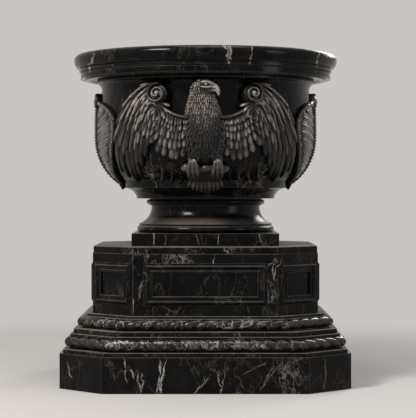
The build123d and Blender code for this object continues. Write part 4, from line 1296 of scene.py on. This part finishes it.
def layBorder(batch, side, halves, levels):
    border = smoothRow([(side * h, z) for h, z in zip(halves, levels)], strapShape["borderSteps"])
    ribbon(batch, border, strapShape["border"], strapShape["borderOut"], strapShape["borderCrown"], 0.0,
           beside, tone=strapShape["borderTone"])
    for i in range(strapRibs["count"]):
        k = int(2 + i * (strapShape["borderSteps"] - 4) / strapRibs["count"])
        along = border[k + 1] - border[k - 1]
        along /= np.linalg.norm(along)
        aside = np.array([-along[1], along[0]]) * strapRibs["half"]
        ribbon(batch, np.linspace(border[k] - aside, border[k] + aside, len(strapRibs["widths"])),
               np.array(strapRibs["widths"]), strapRibs["out"], strapRibs["crown"], 0.0, beside,
               tone=strapRibs["tone"])


def layMidrib(batch):
    heights = np.linspace(strapMidrib["from"], strapMidrib["to"], strapMidrib["steps"])
    taper = np.linspace(1.0, strapMidrib["end"], len(heights))
    ribbon(batch, np.stack([np.zeros(len(heights)), heights], axis=1), strapMidrib["width"] * taper,
           strapMidrib["out"], strapMidrib["crown"], 0.0, beside)
    for i in range(strapMidrib["beads"]):
        share = i / (strapMidrib["beads"] - 1)
        size = strapMidrib["bead"] * (1 - strapMidrib["beadTaper"] * share)
        spot = beside(0.0, strapMidrib["beadTop"] - strapMidrib["beadRun"] * share, strapMidrib["beadOut"])
        ball(batch, spot, size * np.array(strapMidrib["beadShape"]), 8, 12)


def layKnob(batch):
    spot = np.array(strapKnob["spot"])
    t = np.linspace(0, 1, strapKnob["steps"])
    turn = t * strapKnob["turns"] * 2 * math.pi
    reach = strapKnob["reach"] * (1 - strapKnob["shrink"] * t)
    spiral = spot + np.stack([reach * np.sin(turn), reach * np.cos(turn)], axis=1)
    ribbon(batch, spiral, strapKnob["width"] * (strapKnob["thin"][0] - strapKnob["thin"][1] * t),
           strapKnob["scrollOut"], strapKnob["crown"], 0.0, beside, tone=strapKnob["tone"])
    ball(batch, beside(*spot, strapKnob["out"]), np.array(strapKnob["radii"]), 14, 24)


def buildStrap():
    batch = Batch()
    levels = np.linspace(strapShape["levels"][0], strapShape["levels"][-1], strapShape["steps"])
    halves = np.interp(levels, strapShape["levels"], strapShape["halves"])
    sides = np.linspace(-1, 1, strapShape["around"])
    plate = strapShape["plate"] + strapShape["plateCurl"] * np.abs(sides) ** 3
    shell = beside(halves[:, None] * sides, levels[:, None] + 0 * sides, plate)
    under = beside(halves[:, None] * sides[::-1], levels[:, None] + 0 * sides, -carving["sunk"])
    batch.add(np.concatenate([shell, under], axis=1), ringFaces(len(levels), 2 * len(sides)))
    for side in (-1, 1):
        layBorder(batch, side, halves, levels)
        for i in range(strapLobes["count"]):
            layLobe(batch, side, i / (strapLobes["count"] - 1))
    layMidrib(batch)
    layKnob(batch)
    return batch


# low leaves that sweep up the lower bowl between the wing tips and the tail: path and width
calyxLeaves = (
    (((0.226, 0.588), (0.170, 0.600), (0.178, 0.664)), 0.0200),
    (((0.186, 0.584), (0.134, 0.596), (0.150, 0.652)), 0.0170),
    (((0.148, 0.582), (0.100, 0.590), (0.120, 0.640)), 0.0150),
    (((0.112, 0.580), (0.076, 0.584), (0.090, 0.622)), 0.0130),
)
leaf = {
    "steps": 26,
    "taper": (0.12, math.pi - 0.08),
    "roundness": 0.6,
    "out": 0.0002,
    "crown": 0.0026,
    "keel": 0.0016,
}


def buildCalyx():
    batch = Batch()
    taper = np.sin(np.linspace(*leaf["taper"], leaf["steps"])) ** leaf["roundness"]
    for side in (-1, 1):
        for path, width in calyxLeaves:
            ribbon(batch, bezier(*path, leaf["steps"]) * (side, 1), width * taper, leaf["out"],
                   leaf["crown"] * taper, leaf["keel"])
    return batch


def placeCarving():
    wing = buildWing()
    eagle = buildBody()
    perch = buildPerch()
    strap = buildStrap()
    calyx = buildCalyx()
    for side, turned in (("front", False), ("back", True)):
        for hand, mirror in (("left", True), ("right", False)):
            made = wing.piece(f"carved_{hand}_wing_{side}", "carved", mirror, turned)
            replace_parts(made, f"eagle_{hand}_wing_{side}")
        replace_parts(eagle.piece(f"carved_eagle_{side}", "carved", False, turned), f"eagle_body_{side}")
        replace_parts(perch.piece(f"carved_perch_{side}", "carved", False, turned), f"eagle_perch_{side}")
        calyx.piece(f"calyx_leaves_{side}", "bowl", False, turned)
    for hand, turned in (("right", False), ("left", True)):
        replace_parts(strap.piece(f"carved_strap_{hand}", "strap", False, turned), f"leaf_strap_{hand}")


placeCarving()
print("carving placed")

# rope mouldings: twisted strands round each course, mitred at its corners
rope = {
    "cornerLeg": 0.120,
    "strands": 2,
    "pitch": 0.038,
    "groove": 0.26,
    "lobe": 0.55,
    "yarns": 5,
    "yarn": 0.7,
    "yarnDepth": 0.035,
    "around": 40,
    "step": 0.0021,
    "lower": {"depth": 0.011, "hand": 1},
    "upper": {"depth": 0.0105, "hand": -1},
}


def layRopeSide(batch, start, end, radius, middle, depth, hand):
    run = end - start
    length = np.linalg.norm(run)
    run /= length
    outward = np.array([run[1], -run[0]])
    count = max(int(length / rope["step"]), 12)
    share = np.linspace(-1, 1, count)[:, None]
    turn = np.linspace(0, 2 * math.pi, rope["around"], endpoint=False)[None, :]
    lead = rope["strands"] * length / max(round(length / rope["pitch"]), 1)
    along = share * length / 2
    phase = rope["strands"] * (hand * turn + 2 * math.pi * (along + length / 2) / lead)
    lobe = np.abs(np.cos(phase / 2)) ** rope["lobe"]
    yarn = np.abs(np.cos(phase / 2 * rope["yarns"])) ** rope["yarn"]
    swell = radius * (1 - rope["groove"] * (1 - lobe) - rope["yarnDepth"] * (1 - yarn))
    proud = np.maximum(swell * np.cos(turn), -depth)
    mitred = share * (length / 2 + proud * math.tan(math.pi / 8))
    flat = (start + end) / 2 + mitred[..., None] * run + proud[..., None] * outward
    rings = np.concatenate([flat, (middle + swell * np.sin(turn))[..., None]], axis=-1)
    # painted highlight on the lobes of the strands, painted shade in the grooves between them
    batch.add(rings, ringFaces(count, rope["around"]), lobe * (0.5 + 0.5 * yarn))


def buildRope(node, depth, hand):
    batch = Batch()
    low, high = (np.array(corner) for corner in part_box(node))
    radius = (high[2] - low[2]) / 2
    half = high[0] - radius
    flat = half - rope["cornerLeg"]
    corners = np.array([(half, -flat), (half, flat), (flat, half), (-flat, half), (-half, flat),
                        (-half, -flat), (-flat, -half), (flat, -half)])
    for start, end in zip(corners, np.roll(corners, -1, axis=0)):
        layRopeSide(batch, start, end, radius, (high[2] + low[2]) / 2, depth, hand)
    return batch


def placeRopes():
    for course in ("lower", "upper"):
        node = f"{course}_rope_moulding"
        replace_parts(buildRope(node, **rope[course]).piece(f"{course}_rope_strands", "strand"), node)


placeRopes()
print("ropes placed")

# studio: floor, pale surround, soft lamps and the camera at the photograph's angle
studio = {
    "floorRadius": 12.0,
    "floorSides": 64,
    "fade": (0.9, 2.4),
    "floorColour": (0.56, 0.54, 0.52),
    "floorRough": 0.75,
    "floorSpecular": 0.2,
    "surround": (0.58, 0.56, 0.54),
    "surroundLight": 0.20,
    "cameraDistance": 4.8,
    "cameraHeight": 0.558,
    "cameraSide": 0.0075,
    "focalPixels": 1600.0,
    "framePixels": 418.0,
    "horizonDrop": 18.0,
    "sensor": 36.0,
    "clipEnd": 60,
    "lampAim": (0, 0, 0.6),
}
# softboxes by place, size, power and colour
lamps = {
    "keySoftbox": ((-1.8, -2.0, 2.7), (0.8, 0.8), 120, (1.0, 0.97, 0.94)),
    "fillSoftbox": ((2.6, -1.6, 1.4), (0.8, 1.6), 14, (0.95, 0.97, 1.0)),
    "topSoftbox": ((0.2, -0.6, 3.2), (1.4, 1.4), 30, (1, 1, 1)),
    "backSoftbox": ((1.6, 2.6, 2.1), (1.2, 1.2), 38, (1, 1, 1)),
}


# what the camera sees behind the font is plain and pale, with no more light on the stone
def seenRays(tree):
    path = addNode(tree, "ShaderNodeLightPath")
    seen = mathNode(tree, "MAXIMUM", path.outputs["Is Camera Ray"], path.outputs["Is Transmission Ray"])
    return mathNode(tree, "MAXIMUM", seen, path.outputs["Is Glossy Ray"])


def buildFloor():
    turn = np.linspace(0, 2 * math.pi, studio["floorSides"], endpoint=False)
    ring = np.stack([np.cos(turn), np.sin(turn), 0 * turn], axis=1) * studio["floorRadius"]
    mesh = bpy.data.meshes.new("floor")
    mesh.from_pydata(ring.tolist(), [], [tuple(range(len(ring)))])
    floor = bpy.data.objects.new("floor", mesh)
    bpy.context.collection.objects.link(floor)
    material = bpy.data.materials.new("paleFloor")
    material.use_nodes = True
    tree = material.node_tree
    shader = tree.nodes["Principled BSDF"]
    shader.inputs["Roughness"].default_value = studio["floorRough"]
    shader.inputs["Specular IOR Level"].default_value = studio["floorSpecular"]
    shader.inputs["Base Color"].default_value = (*studio["floorColour"], 1)
    far = addNode(tree, "ShaderNodeMapRange", interpolation_type="SMOOTHSTEP")
    far.inputs["From Min"].default_value, far.inputs["From Max"].default_value = studio["fade"]
    join(tree, vectorNode(tree, "LENGTH", objectPlace(tree)), far.inputs["Value"])
    backdrop = addNode(tree, "ShaderNodeEmission")
    backdrop.inputs["Color"].default_value = (*studio["surround"], 1)
    blend = addNode(tree, "ShaderNodeMixShader")
    join(tree, times(tree, far.outputs["Result"], seenRays(tree)), blend.inputs["Fac"])
    join(tree, shader.outputs[0], blend.inputs[1])
    join(tree, backdrop.outputs[0], blend.inputs[2])
    join(tree, blend.outputs[0], tree.nodes["Material Output"].inputs["Surface"])
    floor.data.materials.append(material)


def buildSurround():
    world = bpy.data.worlds.new("surround")
    bpy.context.scene.world = world
    world.use_nodes = True
    tree = world.node_tree
    tree.nodes.clear()
    strength = addNode(tree, "ShaderNodeMapRange")
    strength.inputs["To Min"].default_value = studio["surroundLight"]
    strength.inputs["To Max"].default_value = 1.0
    join(tree, seenRays(tree), strength.inputs["Value"])
    background = addNode(tree, "ShaderNodeBackground")
    background.inputs["Color"].default_value = (*studio["surround"], 1)
    join(tree, strength.outputs["Result"], background.inputs["Strength"])
    output = addNode(tree, "ShaderNodeOutputWorld")
    join(tree, background.outputs[0], output.inputs["Surface"])


def addLamp(name, place, size, power, colour):
    lamp = bpy.data.lights.new(name, "AREA")
    lamp.shape = "RECTANGLE"
    lamp.size, lamp.size_y = size
    lamp.energy = power
    lamp.color = colour
    holder = bpy.data.objects.new(name, lamp)
    holder.location = place
    holder.rotation_euler = (Vector(studio["lampAim"]) - Vector(place)).to_track_quat("-Z", "Y").to_euler()
    bpy.context.collection.objects.link(holder)


def buildCamera():
    camera = bpy.data.cameras.new("photoCamera")
    camera.sensor_width = studio["sensor"]
    camera.lens = studio["focalPixels"] / studio["framePixels"] * camera.sensor_width
    camera.clip_end = studio["clipEnd"]
    holder = bpy.data.objects.new("photoCamera", camera)
    holder.location = (studio["cameraSide"], -studio["cameraDistance"], studio["cameraHeight"])
    tilt = math.atan2(studio["horizonDrop"], studio["focalPixels"])
    holder.rotation_euler = (math.radians(90) - tilt, 0, 0)
    bpy.context.collection.objects.link(holder)
    bpy.context.scene.camera = holder


buildFloor()
buildSurround()
for name, values in lamps.items():
    addLamp(name, *values)
buildCamera()
bpy.context.scene.view_settings.view_transform = "Standard"
print("studio ready")
